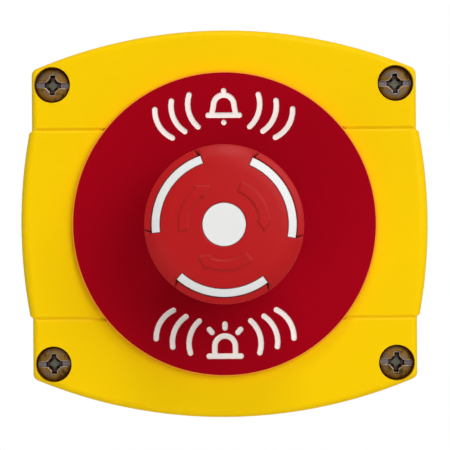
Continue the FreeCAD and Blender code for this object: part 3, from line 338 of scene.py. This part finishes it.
def make_moulded_skin():
    """Moulded plastic: slow drift of the colour, fine spark-eroded grain and an uneven sheen."""
    effect, given, out = new_effect(
        "moulded_skin",
        {"Colour": (0.5, 0.5, 0.5, 1.0), "Drift": 0.03, "Flow size": 45.0, "Grain size": 2600.0,
         "Roughness": 0.4, "Unevenness": 0.04},
        {"Colour": "colour", "Roughness": "number", "Height": "number"},
    )
    flow = noise(effect, given.outputs["Flow size"])
    drifted = vary_brightness(effect, given.outputs["Colour"], flow, given.outputs["Drift"])
    sheen = around(effect, noise(effect, 240.0, 4.0), given.outputs["Roughness"],
                   given.outputs["Unevenness"])
    effect.links.new(drifted, out.inputs["Colour"])
    effect.links.new(sheen, out.inputs["Roughness"])
    effect.links.new(noise(effect, given.outputs["Grain size"], 2.0), out.inputs["Height"])
    return effect


def make_edge_wear_and_painted_edges():
    """A broken mask along edges, for the wear where handling rubs a surface, and for painted
    highlights and painted dark outlines along edges.
    """
    effect, given, out = new_effect(
        "edge_wear_and_painted_edges", {"Width": 0.0004, "Break up": 900.0, "Amount": 1.0}, {"Mask": "number"}
    )
    rounded = put(effect, "ShaderNodeBevel", {"Radius": given.outputs["Width"]}, samples=6)
    own = put(effect, "ShaderNodeNewGeometry")
    same = put(effect, "ShaderNodeVectorMath",
               {0: rounded.outputs["Normal"], 1: own.outputs["Normal"]}, operation="DOT_PRODUCT")
    turn = spread(effect, same.outputs["Value"], 1.0, 0.0, 0.75, 1.0)
    patches = spread(effect, noise(effect, given.outputs["Break up"], 4.0), 0.35, 1.0, 0.35, 0.6)
    worn_and_painted_edge = maths(effect, "MULTIPLY", turn, patches)
    worn_and_painted_edge = maths(effect, "MULTIPLY", worn_and_painted_edge, given.outputs["Amount"])
    effect.links.new(worn_and_painted_edge, out.inputs["Mask"])
    return effect


def shut_in(tree, reach, end):
    """A mask of what is close to other surfaces, within the reach."""
    hollow = put(tree, "ShaderNodeAmbientOcclusion", {"Distance": reach}, samples=6)
    return spread(tree, hollow.outputs["AO"], 1.0, 0.0, 0.25, end)


def make_dust_and_hollow_shade():
    """A mask of hollows and, thinner, of what looks up: for dust on moulded parts, and for grime
    with painted shade on metals.
    """
    effect, given, out = new_effect(
        "dust_and_hollow_shade", {"Reach": 0.003, "Amount": 0.3}, {"Mask": "number"}
    )
    shut = shut_in(effect, given.outputs["Reach"], 0.9)
    normal = put(effect, "ShaderNodeNewGeometry").outputs["Normal"]
    up = put(effect, "ShaderNodeSeparateXYZ", {"Vector": normal}).outputs["Z"]
    lying = spread(effect, up, 0.0, 0.35, 0.5, 1.0)
    both = maths(effect, "MAXIMUM", shut, lying)
    patches = spread(effect, noise(effect, 700.0, 5.0), 0.3, 1.0, 0.3, 0.65)
    dust = maths(effect, "MULTIPLY", both, patches)
    dust = maths(effect, "MULTIPLY", dust, given.outputs["Amount"])
    effect.links.new(dust, out.inputs["Mask"])
    return effect


def make_crevice_painted_shade():
    """A mask of painted shade in the narrow gaps and at the feet of steps, which read almost
    black.
    """
    effect, given, out = new_effect(
        "crevice_painted_shade", {"Reach": 0.0007, "Amount": 0.85}, {"Mask": "number"}
    )
    shut = shut_in(effect, given.outputs["Reach"], 0.65)
    effect.links.new(maths(effect, "MULTIPLY", shut, given.outputs["Amount"]), out.inputs["Mask"])
    return effect


def make_drawn_metal():
    """Drawn, stamped or turned metal: fine lines along one way and a faint mottle."""
    effect, given, out = new_effect(
        "drawn_metal",
        {"Colour": (0.6, 0.6, 0.6, 1.0), "Line size": 3000.0, "Mottle": 0.08, "Roughness": 0.3},
        {"Colour": "colour", "Roughness": "number", "Height": "number"},
    )
    where = put(effect, "ShaderNodeTexCoord").outputs["Object"]
    stretched = put(effect, "ShaderNodeMapping", {"Vector": where, "Scale": (1.0, 0.06, 1.0)})
    lines = noise(effect, given.outputs["Line size"], 3.0, stretched.outputs["Vector"])
    tinted = vary_brightness(effect, given.outputs["Colour"], noise(effect, 600.0, 4.0),
                             given.outputs["Mottle"])
    rough = maths(effect, "MULTIPLY_ADD", lines, 0.12, given.outputs["Roughness"])
    effect.links.new(tinted, out.inputs["Colour"])
    effect.links.new(rough, out.inputs["Roughness"])
    effect.links.new(lines, out.inputs["Height"])
    return effect


MOULDED_SKIN = make_moulded_skin()
EDGE_WEAR_AND_PAINTED_EDGES = make_edge_wear_and_painted_edges()
DUST_AND_HOLLOW_SHADE = make_dust_and_hollow_shade()
CREVICE_PAINTED_SHADE = make_crevice_painted_shade()
DRAWN_METAL = make_drawn_metal()


# Materials; sizes, depths and reaches in them are in metres

DUST = rgb(120, 112, 98)


def new_material(name, specular, **settings):
    material = bpy.data.materials.new(name)
    material.use_nodes = True
    tree = material.node_tree
    shader = tree.nodes["Principled BSDF"]
    shader.inputs["Specular IOR Level"].default_value = specular
    for label, value in settings.items():
        shader.inputs[label.replace("_", " ")].default_value = value
    return material, tree, shader


def emboss(tree, shader, height, depth, edge_radius):
    """Round the edges in the shading, and add a height of the given depth."""
    rounded = put(tree, "ShaderNodeBevel", {"Radius": edge_radius}, samples=8)
    bump = put(tree, "ShaderNodeBump",
               {"Height": height, "Distance": depth, "Normal": rounded.outputs["Normal"]})
    tree.links.new(bump.outputs["Normal"], shader.inputs["Normal"])


def moulded(name, colour, roughness, specular=0.3, drift=0.02, grain=2600.0, depth=0.00002,
            rubbed_and_painted_edge_colour=None, wear_and_painted_edge=0.25, dust=0.12, painted_crevice_colour=None, painted_crevice_shade=0.85, reach=0.0007,
            edge=0.0003):
    """Moulded plastic or rubber: edges lighter where rubbed, partly as a painted highlight, and
    on the white inlay a painted dark outline; a little dust; and painted shade that darkens its
    crevices.
    """
    material, tree, shader = new_material(name, specular)
    skin = place_effect(tree, MOULDED_SKIN, Colour=colour, Drift=drift, Grain_size=grain,
                        Roughness=roughness)
    worn_and_painted_edge = place_effect(tree, EDGE_WEAR_AND_PAINTED_EDGES, Amount=wear_and_painted_edge)
    dirt_and_hollow_shade = place_effect(tree, DUST_AND_HOLLOW_SHADE, Amount=dust)
    # Painted shade: the crevices and the feet of steps darken towards a deep tone of the colour.
    shut = place_effect(tree, CREVICE_PAINTED_SHADE, Reach=reach, Amount=painted_crevice_shade)
    # Edge colour: partly wear, partly a painted highlight, and on the white inlay a painted dark
    # outline.
    shade = blend_colours(tree, worn_and_painted_edge.outputs["Mask"], skin.outputs["Colour"],
                          rubbed_and_painted_edge_colour or shift(colour, 1.25, 0.01))
    shade = blend_colours(tree, dirt_and_hollow_shade.outputs["Mask"], shade, DUST)
    shade = blend_colours(tree, shut.outputs["Mask"], shade, painted_crevice_colour or shift(colour, 0.15))
    rough = maths(tree, "MULTIPLY_ADD", dirt_and_hollow_shade.outputs["Mask"], 0.5, skin.outputs["Roughness"])
    tree.links.new(shade, shader.inputs["Base Color"])
    tree.links.new(rough, shader.inputs["Roughness"])
    emboss(tree, shader, skin.outputs["Height"], depth, edge)
    return material


def metal(name, colour, roughness, lines=3000.0, depth=0.000004, wear_and_painted_edge=0.5, grime_and_painted_shade=0.6):
    """Plated, drawn or stamped metal, brighter along its edges, and darker in its hollows with
    grime and painted shade.
    """
    material, tree, shader = new_material(name, 0.5, Metallic=1.0)
    drawn = place_effect(tree, DRAWN_METAL, Colour=colour, Line_size=lines, Roughness=roughness)
    worn_and_painted_edge = place_effect(tree, EDGE_WEAR_AND_PAINTED_EDGES, Width=0.00015, Amount=wear_and_painted_edge)
    dirt_and_hollow_shade = place_effect(tree, DUST_AND_HOLLOW_SHADE, Reach=0.0015, Amount=grime_and_painted_shade)
    shade = blend_colours(tree, worn_and_painted_edge.outputs["Mask"], drawn.outputs["Colour"],
                          shift(colour, 1.35, 0.02))
    # Grime and painted shade: a darker copy of the colour in the hollows.
    shade = blend_colours(tree, dirt_and_hollow_shade.outputs["Mask"], shade, shift(colour, 0.35))
    tree.links.new(shade, shader.inputs["Base Color"])
    tree.links.new(drawn.outputs["Roughness"], shader.inputs["Roughness"])
    emboss(tree, shader, drawn.outputs["Height"], depth, 0.0001)
    return material


def make_passivated_steel():
    """Yellow-passivated zinc: an uneven film from olive gold to brown and violet grey, with
    painted glints along the edges and grime with painted shade in the hollows.
    """
    material, tree, shader = new_material("passivated_steel", 0.5, Metallic=1.0)
    film = put(tree, "ShaderNodeValToRGB", {"Fac": noise(tree, 420.0, 4.0)})
    ramp = film.color_ramp
    tints = [(0.37, rgb(70, 58, 32)), (0.46, rgb(122, 90, 38)), (0.55, rgb(112, 90, 58)),
             (0.64, rgb(100, 90, 92))]
    while len(ramp.elements) < len(tints):
        ramp.elements.new(0.5)
    for element, (place, tint) in zip(ramp.elements, tints):
        element.position = place
        element.color = tint
    drawn = place_effect(tree, DRAWN_METAL, Colour=film.outputs["Color"], Line_size=1800.0,
                         Mottle=0.12, Roughness=0.4)
    worn_and_painted_edge = place_effect(tree, EDGE_WEAR_AND_PAINTED_EDGES, Width=0.0004, Break_up=2500.0, Amount=1.0)
    dirt_and_hollow_shade = place_effect(tree, DUST_AND_HOLLOW_SHADE, Reach=0.001, Amount=0.6)
    # Painted glints, partly a rubbed rim: pale along the edges of the crown and the recess.
    shade = blend_colours(tree, worn_and_painted_edge.outputs["Mask"], drawn.outputs["Colour"],
                          rgb(214, 200, 190))
    # Grime and painted shade: brown in the hollows, such as the head's side down in the
    # counterbore.
    shade = blend_colours(tree, dirt_and_hollow_shade.outputs["Mask"], shade, rgb(112, 68, 18))
    tree.links.new(shade, shader.inputs["Base Color"])
    tree.links.new(drawn.outputs["Roughness"], shader.inputs["Roughness"])
    emboss(tree, shader, drawn.outputs["Height"], 0.000006, 0.00015)
    return material


# Cover: its lighter yellow edges, as at the counterbores' rims, are a painted highlight, and the
# orange-brown in the counterbores, grooves and at the plate's foot is painted shade.
COVER_YELLOW = moulded(
    "cover_yellow", rgb(252, 207, 0), 0.32, specular=0.05, drift=0.012, depth=0.000012,
    rubbed_and_painted_edge_colour=rgb(255, 226, 80), wear_and_painted_edge=0.3, dust=0.06, painted_crevice_colour=rgb(170, 96, 0), painted_crevice_shade=1.0,
    reach=0.0011, edge=0.00015)
BOX_GREY = moulded(
    "box_dark_grey", rgb(66, 68, 71), 0.55, grain=1500.0, depth=0.00005, dust=0.2)
GASKET_BLACK = moulded(
    "gasket_foam", rgb(24, 24, 25), 0.85, specular=0.1, grain=1900.0, depth=0.00008)
PLATE_RED = moulded(
    "plate_red_skin", rgb(163, 1, 22), 0.5, specular=0.02, grain=3400.0, depth=0.00001,
    rubbed_and_painted_edge_colour=rgb(214, 70, 40), wear_and_painted_edge=0.5, dust=0.03)
# White core: the pinkish grey at the edges of the engraved grooves is painted shade.
PLATE_CORE = moulded(
    "plate_white_core", rgb(255, 246, 240), 0.6, specular=0.1, grain=3000.0, depth=0.00003,
    dust=0.04, painted_crevice_colour=rgb(190, 120, 116), painted_crevice_shade=0.5)
# Plate rim and chamfer: orange, partly the white core showing and partly a painted reflection of
# the yellow cover.
PLATE_EDGE_CORE_AND_REFLECTION = moulded(
    "plate_edge_core_and_reflection", rgb(250, 158, 44), 0.55, specular=0.1, grain=3000.0, dust=0.1)
# Head: its lighter edges are partly a painted highlight, and the dark red in the gaps round the
# white inlay is painted shade.
HEAD_RED = moulded(
    "head_red", rgb(182, 14, 17), 0.4, specular=0.17, drift=0.03, grain=2200.0,
    depth=0.000012, rubbed_and_painted_edge_colour=rgb(214, 66, 60), wear_and_painted_edge=0.4, dust=0.04, painted_crevice_colour=rgb(90, 8, 8),
    painted_crevice_shade=0.4, edge=0.0006)
# White inlay: the dark brown along its edges is a painted outline of the shaded gap, and its gaps
# take painted shade.
INSERT_WHITE = moulded(
    "insert_white", rgb(232, 233, 231), 0.38, specular=0.25, drift=0.012, depth=0.00001,
    rubbed_and_painted_edge_colour=rgb(96, 20, 14), wear_and_painted_edge=0.5, dust=0.04, painted_crevice_colour=rgb(60, 20, 16))
BEZEL_BLACK = moulded("bezel_black", rgb(34, 34, 36), 0.42, specular=0.35, grain=2000.0)
STEM_GREY = moulded("stem_grey", rgb(150, 152, 154), 0.45)
NUT_BLACK = moulded("nut_black", rgb(45, 45, 47), 0.5, grain=1600.0, depth=0.00004)
BLOCK_BLACK = moulded("block_black", rgb(52, 52, 54), 0.5, grain=1800.0, depth=0.00003)
BLOCK_RED = moulded(
    "block_red", rgb(170, 34, 30), 0.5, specular=0.25, grain=1800.0, depth=0.00003)
BLOCK_GREEN = moulded(
    "block_green", rgb(40, 128, 66), 0.5, specular=0.25, grain=1800.0, depth=0.00003)
SPRING_STEEL = metal("spring_steel", rgb(190, 192, 196), 0.24, lines=5000.0)
CARRIER_ZINC = metal("carrier_zinc", rgb(150, 152, 156), 0.48, lines=1200.0, depth=0.00001)
ZINC_STEEL = metal("zinc_steel", rgb(196, 200, 206), 0.3)
INSERT_BRASS = metal("insert_brass", rgb(206, 170, 92), 0.3, lines=4000.0)
CONTACT_BRASS = metal("contact_brass", rgb(214, 184, 112), 0.28, lines=2600.0)
PASSIVATED_STEEL = make_passivated_steel()
SLOT_GREY = metal("slot_grey", rgb(116, 106, 108), 0.4, grime_and_painted_shade=0.4)
# Painted shade: the walls of the cross recess, dark as the shade in them.
RECESS_PAINTED_SHADE = metal("recess_painted_shade", rgb(74, 60, 58), 0.4, wear_and_painted_edge=0.2, grime_and_painted_shade=0.7)
# Painted light: the lighter middle of the recess floor, where light reaches down.
RECESS_FLOOR_PAINTED_LIGHT = metal("recess_floor_painted_light", rgb(88, 90, 76), 0.4, wear_and_painted_edge=0.2, grime_and_painted_shade=0.3)
# Painted glints: the bright mouth of the cross.
RECESS_MOUTH_PAINTED_GLINT = metal("recess_mouth_painted_glint", rgb(240, 220, 208), 0.35, grime_and_painted_shade=0.2)

FINISHES = {
    "cover_plastic": COVER_YELLOW,
    "box_plastic": BOX_GREY,
    "gasket_rubber": GASKET_BLACK,
    "passivated_steel": PASSIVATED_STEEL,
    "insert_brass": INSERT_BRASS,
    "plate_laminate": PLATE_RED,
    "black_plastic": BEZEL_BLACK,
    "head_plastic": HEAD_RED,
    "white_plastic": INSERT_WHITE,
    "grey_plastic": STEM_GREY,
    "nut_plastic": NUT_BLACK,
    "spring_steel": SPRING_STEEL,
    "carrier_metal": CARRIER_ZINC,
    "zinc_steel": ZINC_STEEL,
    "block_plastic": BLOCK_BLACK,
    "nc_plastic": BLOCK_RED,
    "no_plastic": BLOCK_GREEN,
    "contact_brass": CONTACT_BRASS,
}


def dress_nodes():
    """Every solid takes the finish of its material slot."""
    for part in frame["record"]["subparts"]:
        for place in nodes[part["node"]].material_slots:
            place.material = FINISHES[part["material_slot"]]


def finish_piece(piece, name, node):
    """Every piece made here rides on the enclosure and stands for one CAD node."""
    piece.name = name
    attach(piece, "enclosure")
    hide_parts(node)


# Legend plate: engraved signs of a bell and a beacon with sound waves. The signs' own
# coordinates are millimetres from the middle of each sign.

PLATE_CHAMFER = 0.3 * MM
BARREL_HOLE_RADIUS = 11.2 * MM
KEY_NOTCH_WIDTH = 3.3 * MM
KEY_NOTCH_REACH = 12.35 * MM
STROKE = 1.45 * MM
ENGRAVED = 0.25 * MM
SIGN_RADIUS = 30.7 * MM
WAVE_RADIUS = 8.0
WAVE_SIDE = 7.0
WAVE_SPREAD = 33
WAVE_ANGLES = (15.5, 23.5, 31.5)
BOW_STEP = 9


def start_stroke(x, z):
    """The round start of a groove, as a flat disc on the plate's face."""
    bpy.ops.mesh.primitive_circle_add(
        vertices=24, radius=STROKE / 2, fill_type="NGON", location=(x, PLATE_FRONT, z),
        rotation=ALONG_Y,
    )
    return new_piece("groove")


def choose_leading_edge(groove, start, way):
    """Select the half of the disc's rim that goes ahead."""
    def ahead(vertex):
        return (vertex.co - start).dot(way) > -STROKE / 1000
    edit(groove, "EDGE")
    choose(groove, "edges", lambda edge: all(ahead(vertex) for vertex in edge.verts))


def bar(x1, z1, x2, z2):
    """A straight groove with round ends."""
    start = Vector((x1 * MM, PLATE_FRONT, z1 * MM))
    run = Vector((x2 * MM, PLATE_FRONT, z2 * MM)) - start
    groove = start_stroke(start.x, start.z)
    choose_leading_edge(groove, start, run.normalized())
    bpy.ops.mesh.extrude_region_move(TRANSFORM_OT_translate={"value": run})
    done()
    return groove


def bow(x, z, radius, first, last):
    """A curved groove round x, z, from one angle to another, in degrees anticlockwise."""
    centre = Vector((x * MM, PLATE_FRONT, z * MM))
    low = math.radians(first)
    start = centre + Vector((math.cos(low), 0, math.sin(low))) * radius * MM
    way = Vector((-math.sin(low), 0, math.cos(low)))
    groove = start_stroke(start.x, start.z)
    choose_leading_edge(groove, start, way)
    sweep = last - first
    bpy.ops.mesh.spin(steps=max(6, round(sweep / BOW_STEP)), angle=math.radians(sweep),
                      center=centre, axis=(0, 1, 0))
    done()
    return groove


def dot(x, z):
    return start_stroke(x * MM, z * MM)


def bell():
    """A dome with flared sides over a rim, a clapper below and a knob on top."""
    return [
        bow(0, 0.4, 2.7, 0, 180), bar(-2.74, 0.15, -3.1, -1.7), bar(2.74, 0.15, 3.1, -1.7),
        bar(-4.1, -2.2, 4.1, -2.2), dot(0, -4.1), dot(0, 4.2),
    ]


def beacon():
    """A domed lamp on a base, with three rays."""
    return [
        bow(0, -1.4, 2.7, 0, 180), bar(-2.7, -1.4, -2.7, -3.6), bar(2.7, -1.4, 2.7, -3.6),
        bar(-4.2, -4.0, 4.2, -4.0), bar(0, 3.4, 0, 4.4), bar(-3.4, 2.2, -4.1, 3.0),
        bar(3.4, 2.2, 4.1, 3.0),
    ]


def sound_wave(side):
    """One bow to the right of a sign (1), or its mirror image to the left (-1)."""
    wave = bow(-WAVE_SIDE, 0, WAVE_RADIUS, -WAVE_SPREAD, WAVE_SPREAD)
    if side < 0:
        move_to(wave, Matrix.Scale(-1, 4, (1, 0, 0)))
    return wave


def set_round_plate(grooves, lean, flip):
    """Put a sign above the head, or below it if flipped, and lean it round the plate."""
    upright = Matrix.Translation((0, 0, -SIGN_RADIUS if flip else SIGN_RADIUS))
    place = Matrix.Rotation(-math.radians(lean), 4, "Y") @ upright
    for groove in grooves:
        move_to(groove, place)
    return grooves


def make_signs():
    """A bell above and a beacon below, each between three pairs of sound waves."""
    signs = set_round_plate(bell(), 0, False) + set_round_plate(beacon(), 0, True)
    for flip in (False, True):
        for angle in WAVE_ANGLES:
            for side in (1, -1):
                lean = side * angle if flip else -side * angle
                signs += set_round_plate([sound_wave(side)], lean, flip)
    return signs


def make_legend_plate():
    """Two-layer engraving plate: red skin on a white core, chamfered in front."""
    thickness = PLATE_BACK - PLATE_FRONT
    plate = disc_blank("engraved_plate", vertices=192, radius=PLATE_RADIUS, depth=thickness,
                       middle=(PLATE_FRONT + PLATE_BACK) / 2)
    edit(plate, "EDGE")
    choose(plate, "edges",
           lambda edge: all(abs(end.co.y - PLATE_FRONT) < SAME_LEVEL for end in edge.verts))
    bpy.ops.mesh.bevel(offset=PLATE_CHAMFER, segments=2)
    done()
    plate.data.materials.append(PLATE_RED)
    # The rim and the chamfer look neither straight forwards nor back
    second_finish(plate, PLATE_EDGE_CORE_AND_REFLECTION, lambda face: -0.95 < face.normal.y < 0.5)

    hole = disc_blank("barrel_hole", vertices=96, radius=BARREL_HOLE_RADIUS,
                      depth=3 * thickness, middle=PLATE_BACK)
    notch = block_blank("key_notch", (KEY_NOTCH_WIDTH, 3 * thickness, KEY_NOTCH_REACH),
                        (0, PLATE_BACK, KEY_NOTCH_REACH / 2))
    for tool in (hole, notch):
        tool.data.materials.append(PLATE_CORE)
    cut(plate, [hole, notch])

    signs = make_signs()
    for groove in signs:
        groove.data.materials.append(PLATE_CORE)
        modify(groove, "SOLIDIFY", thickness=2 * ENGRAVED, offset=0.0)
        edit(groove)
        face_outwards()
        done()
        put_faces_in_order(groove)
    cut(plate, signs)
    smooth(plate, 20)
    finish_piece(plate, "engraved_plate", "legend_plate")


# Cover screws with a combined slot and cross recess

SCREW_SEAT = SCREW_TOP + 3.1 * MM
SCREW_CORE = 1.6 * MM
SCREW_POINT = 0.5 * MM
POINT_TAPER = 0.7
THREAD_RADIUS = 1.95 * MM
THREAD_DEPTH = 0.4 * MM
THREAD_PITCH = 0.7 * MM
THREAD_START = SCREW_TIP - 22 * MM
THREAD_END = SCREW_TIP - 1.2 * MM
THREAD_STEPS = 16
# Radius and height over the seat, in millimetres, from the head's side to its crown
CROWN = [(4.3, 2.4), (4.28, 2.6), (4.2, 2.72), (4.05, 2.8), (3.4, 2.9), (2.2, 3.01), (1.0, 3.08)]
# Side, height and how far the slot is off level, in degrees
CORNERS = {
    "left_top": (-1, 1, 2),
    "right_top": (1, 1, -1),
    "left_low": (-1, -1, -2),
    "right_low": (1, -1, 3),
}


def pull_rings(piece, level, rings):
    """Inset the flat front face again and again, once for each ring."""
    edit(piece)
    choose(piece, "faces", face_at(level, -1))
    for (radius, height), (next_radius, next_height) in zip(rings, rings[1:]):
        bpy.ops.mesh.inset(thickness=radius - next_radius, depth=next_height - height)
    done()


def tapered_block(name, size, sunk, taper, turn):
    """A cutter in the screw's top, with the taper's share of its width and height inside.

    Its sizes, and how far its middle is sunk under the top, are in millimetres.
    """
    middle = SCREW_TOP + sunk * MM
    cutter = block_blank(name, [side * MM for side in size], (0, middle, 0))
    edit(cutter)
    choose(cutter, "faces", looks_back)
    bpy.ops.transform.resize(value=(taper[0], 1, taper[1]), center_override=(0, middle, 0))
    done()
    return move_to(cutter, Matrix.Rotation(math.radians(turn), 4, "Y"))


def make_recess_tools():
    """Cutters for the slot, the mouth of the cross with painted glints, its core and its two
    arms.
    """
    slot = tapered_block("slot", (12, 2.0, 1.45), sunk=0, taper=(1, 0.9), turn=0)
    bpy.ops.mesh.primitive_cone_add(
        vertices=8, radius1=2.65 * MM, radius2=1.55 * MM, depth=1.1 * MM,
        rotation=(-math.pi / 2, 0, 0), location=(0, SCREW_TOP, 0),
    )
    mouth = move_to(new_piece("mouth"), Matrix.Rotation(math.pi / 8, 4, "Y"))
    core = tapered_block("core", (4.1, 2.6, 4.1), sunk=0.7, taper=(0.45, 0.45), turn=45)
    level = tapered_block("arm", (5.4, 3.0, 1.6), sunk=0.4, taper=(0.7, 0.75), turn=0)
    upright = tapered_block("arm", (6.0, 3.0, 1.5), sunk=0.4, taper=(0.7, 0.75), turn=90)
    slot.data.materials.append(SLOT_GREY)
    mouth.data.materials.append(RECESS_MOUTH_PAINTED_GLINT)
    for tool in (core, level, upright):
        tool.data.materials.append(RECESS_PAINTED_SHADE)
    second_finish(core, RECESS_FLOOR_PAINTED_LIGHT, looks_back)
    return [slot], [mouth], [core, level, upright]


def wind_thread():
    """A ridge of three-sided section wound forwards along the shank."""
    half_width = 0.32 * THREAD_PITCH
    crest = 0.6 * THREAD_DEPTH
    bpy.ops.mesh.primitive_circle_add(
        vertices=3, radius=1.0, fill_type="NOTHING",
        location=(THREAD_RADIUS - crest, THREAD_START, 0), rotation=(0, 0, -math.pi / 2),
    )
    bpy.context.object.scale = (half_width, crest, 1)
    ridge = new_piece("thread")
    modify(ridge, "SCREW", axis="Y", angle=2 * math.pi, screw_offset=THREAD_PITCH,
           iterations=round((THREAD_END - THREAD_START) / THREAD_PITCH), steps=THREAD_STEPS,
           render_steps=THREAD_STEPS, use_merge_vertices=False)
    close_ends(ridge)
    return ridge


def make_screw():
    """One pan head screw on the middle axis, with its crown, recess, shank and thread."""
    rings = [(radius * MM, height * MM) for radius, height in CROWN]
    side = rings[0][1]
    screw = disc_blank("screw", vertices=64, radius=SCREW_HEAD_RADIUS, depth=side,
                       middle=SCREW_SEAT - side / 2)
    pull_rings(screw, SCREW_SEAT - side, rings)
    edit(screw)
    choose(screw, "faces", face_at(SCREW_SEAT, 1))
    bpy.ops.mesh.inset(thickness=SCREW_HEAD_RADIUS - SCREW_CORE)
    for run in (SCREW_TIP - SCREW_SEAT - SCREW_POINT, SCREW_POINT):
        bpy.ops.mesh.extrude_region_move(TRANSFORM_OT_translate={"value": (0, run, 0)})
    bpy.ops.transform.resize(value=(POINT_TAPER, 1, POINT_TAPER),
                             center_override=(0, SCREW_TIP, 0))
    done()
    screw.data.materials.append(PASSIVATED_STEEL)
    for tools in make_recess_tools():
        cut(screw, tools)
    screw = join([screw, wind_thread()], "screw")
    smooth(screw, 35)
    return screw


def make_cover_screws():
    """Four screws; each slot lies level, a little off, as they were driven."""
    screw = make_screw()
    driven = []
    for name, (side, height, lean) in CORNERS.items():
        place = Matrix.Translation((side * SCREW_X, 0, height * SCREW_Z))
        driven.append(copy_of(screw, name, place @ Matrix.Rotation(math.radians(lean), 4, "Y")))
    bpy.data.objects.remove(screw)
    screws = join(driven, "recessed_screws")
    finish_piece(screws, "recessed_screws", "cover_screws")


# Coil springs of round wire

COIL_STEPS = 30


def make_spring(name, node, x, diameter, wire, turns):
    """A coil from its fixed rear end forwards."""
    low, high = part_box(node)
    rear = high.y
    length = high.y - low.y
    bpy.ops.mesh.primitive_circle_add(
        vertices=12, radius=wire / 2, fill_type="NOTHING",
        location=((diameter - wire) / 2, rear - wire / 2, 0),
    )
    coil = new_piece(name)
    rise = (length - wire) / turns
    steps = round(COIL_STEPS * turns)
    modify(coil, "SCREW", axis="Y", angle=-2 * math.pi * turns, screw_offset=-rise * turns,
           iterations=1, steps=steps, render_steps=steps, use_merge_vertices=False)
    close_ends(coil)
    coil.data.materials.append(SPRING_STEEL)
    move_to(coil, Matrix.Translation((x, 0, 0)))
    smooth(coil, 60)
    finish_piece(coil, name, node)
    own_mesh(coil)


def make_springs():
    make_spring("return_coil", "return_spring", x=0,
                diameter=20.2 * MM, wire=1.2 * MM, turns=3.83)
    for prefix in ("nc", "no"):
        node = f"{prefix}_spring"
        low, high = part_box(node)
        make_spring(f"{prefix}_coil", node, x=(low.x + high.x) / 2,
                    diameter=5.0 * MM, wire=0.5 * MM, turns=3.0)


# Studio: a pale floor far below, a soft world that is stronger in front and above, a large key
# lamp at the upper right, a small one overhead and a weak fill lamp at the lower left

CAMERA_PLACE = (0.00165, -0.695, 0.0027)
CAMERA_TURN = (89.73, 0.33, 0.134)
FOCAL_LENGTH = 194.6
SENSOR_WIDTH = 36
FLOOR_LEVEL = -0.4
LAMP_TARGET = Vector((0, -0.05, 0))
WHITE = (1, 1, 1, 1)


def make_camera():
    lens = bpy.data.cameras.new("camera")
    lens.lens = FOCAL_LENGTH
    lens.sensor_width = SENSOR_WIDTH
    camera = bpy.data.objects.new("camera", lens)
    bpy.context.scene.collection.objects.link(camera)
    camera.location = CAMERA_PLACE
    camera.rotation_euler = [math.radians(angle) for angle in CAMERA_TURN]
    bpy.context.scene.camera = camera


def make_lamp(name, place, size, power):
    """A square soft lamp that looks at the middle of the cover."""
    light = bpy.data.lights.new(name, "AREA")
    light.size = size
    light.energy = power
    lamp = bpy.data.objects.new(name, light)
    bpy.context.scene.collection.objects.link(lamp)
    lamp.location = place
    aim = LAMP_TARGET - Vector(place)
    lamp.rotation_euler = aim.to_track_quat("-Z", "Y").to_euler()


def make_floor():
    bpy.ops.mesh.primitive_plane_add(size=4, location=(0, 0, FLOOR_LEVEL))
    floor = new_piece("floor")
    material, tree, shader = new_material("pale_floor", 0.1, Roughness=0.8)
    speckle = spread(tree, noise(tree, 60.0), 0.9, 0.94)
    grey = put(tree, "ShaderNodeCombineColor", {0: speckle, 1: speckle, 2: speckle})
    tree.links.new(grey.outputs["Color"], shader.inputs["Base Color"])
    floor.data.materials.append(material)


def make_world():
    """Soft light for the object, and plain white for the camera, gloss and glass."""
    world = bpy.data.worlds.new("studio")
    bpy.context.scene.world = world
    world.use_nodes = True
    tree = world.node_tree
    tree.nodes.clear()
    way = put(tree, "ShaderNodeTexCoord").outputs["Generated"]
    split = put(tree, "ShaderNodeSeparateXYZ", {"Vector": way})
    ahead = spread(tree, split.outputs["Y"], 0.34, 0.14, -1.0, 0.1)
    above = spread(tree, split.outputs["Z"], 0.0, 0.24)
    level = maths(tree, "ADD", ahead, above)
    soft = put(tree, "ShaderNodeBackground", {"Color": WHITE, "Strength": level})
    white = put(tree, "ShaderNodeBackground", {"Color": WHITE, "Strength": 1.0})
    path = put(tree, "ShaderNodeLightPath")
    seen = maths(tree, "MAXIMUM", path.outputs["Is Camera Ray"], path.outputs["Is Glossy Ray"])
    seen = maths(tree, "MAXIMUM", seen, path.outputs["Is Transmission Ray"])
    mix = put(tree, "ShaderNodeMixShader", {"Fac": seen, 1: soft.outputs[0], 2: white.outputs[0]})
    out = put(tree, "ShaderNodeOutputWorld", {"Surface": mix.outputs[0]})
    out.is_active_output = True


def make_studio():
    make_floor()
    make_world()
    make_lamp("key", (2.4, -4.0, 1.76), size=3.2, power=109.0)
    make_lamp("overhead", (0.2, -1.3, 2.2), size=0.7, power=17.0)
    make_lamp("fill", (-0.55, -0.85, -0.5), size=0.6, power=2.2)
    bpy.context.scene.view_settings.view_transform = "Standard"


make_camera()
dress_nodes()
make_legend_plate()
make_cover_screws()
make_springs()
make_studio()
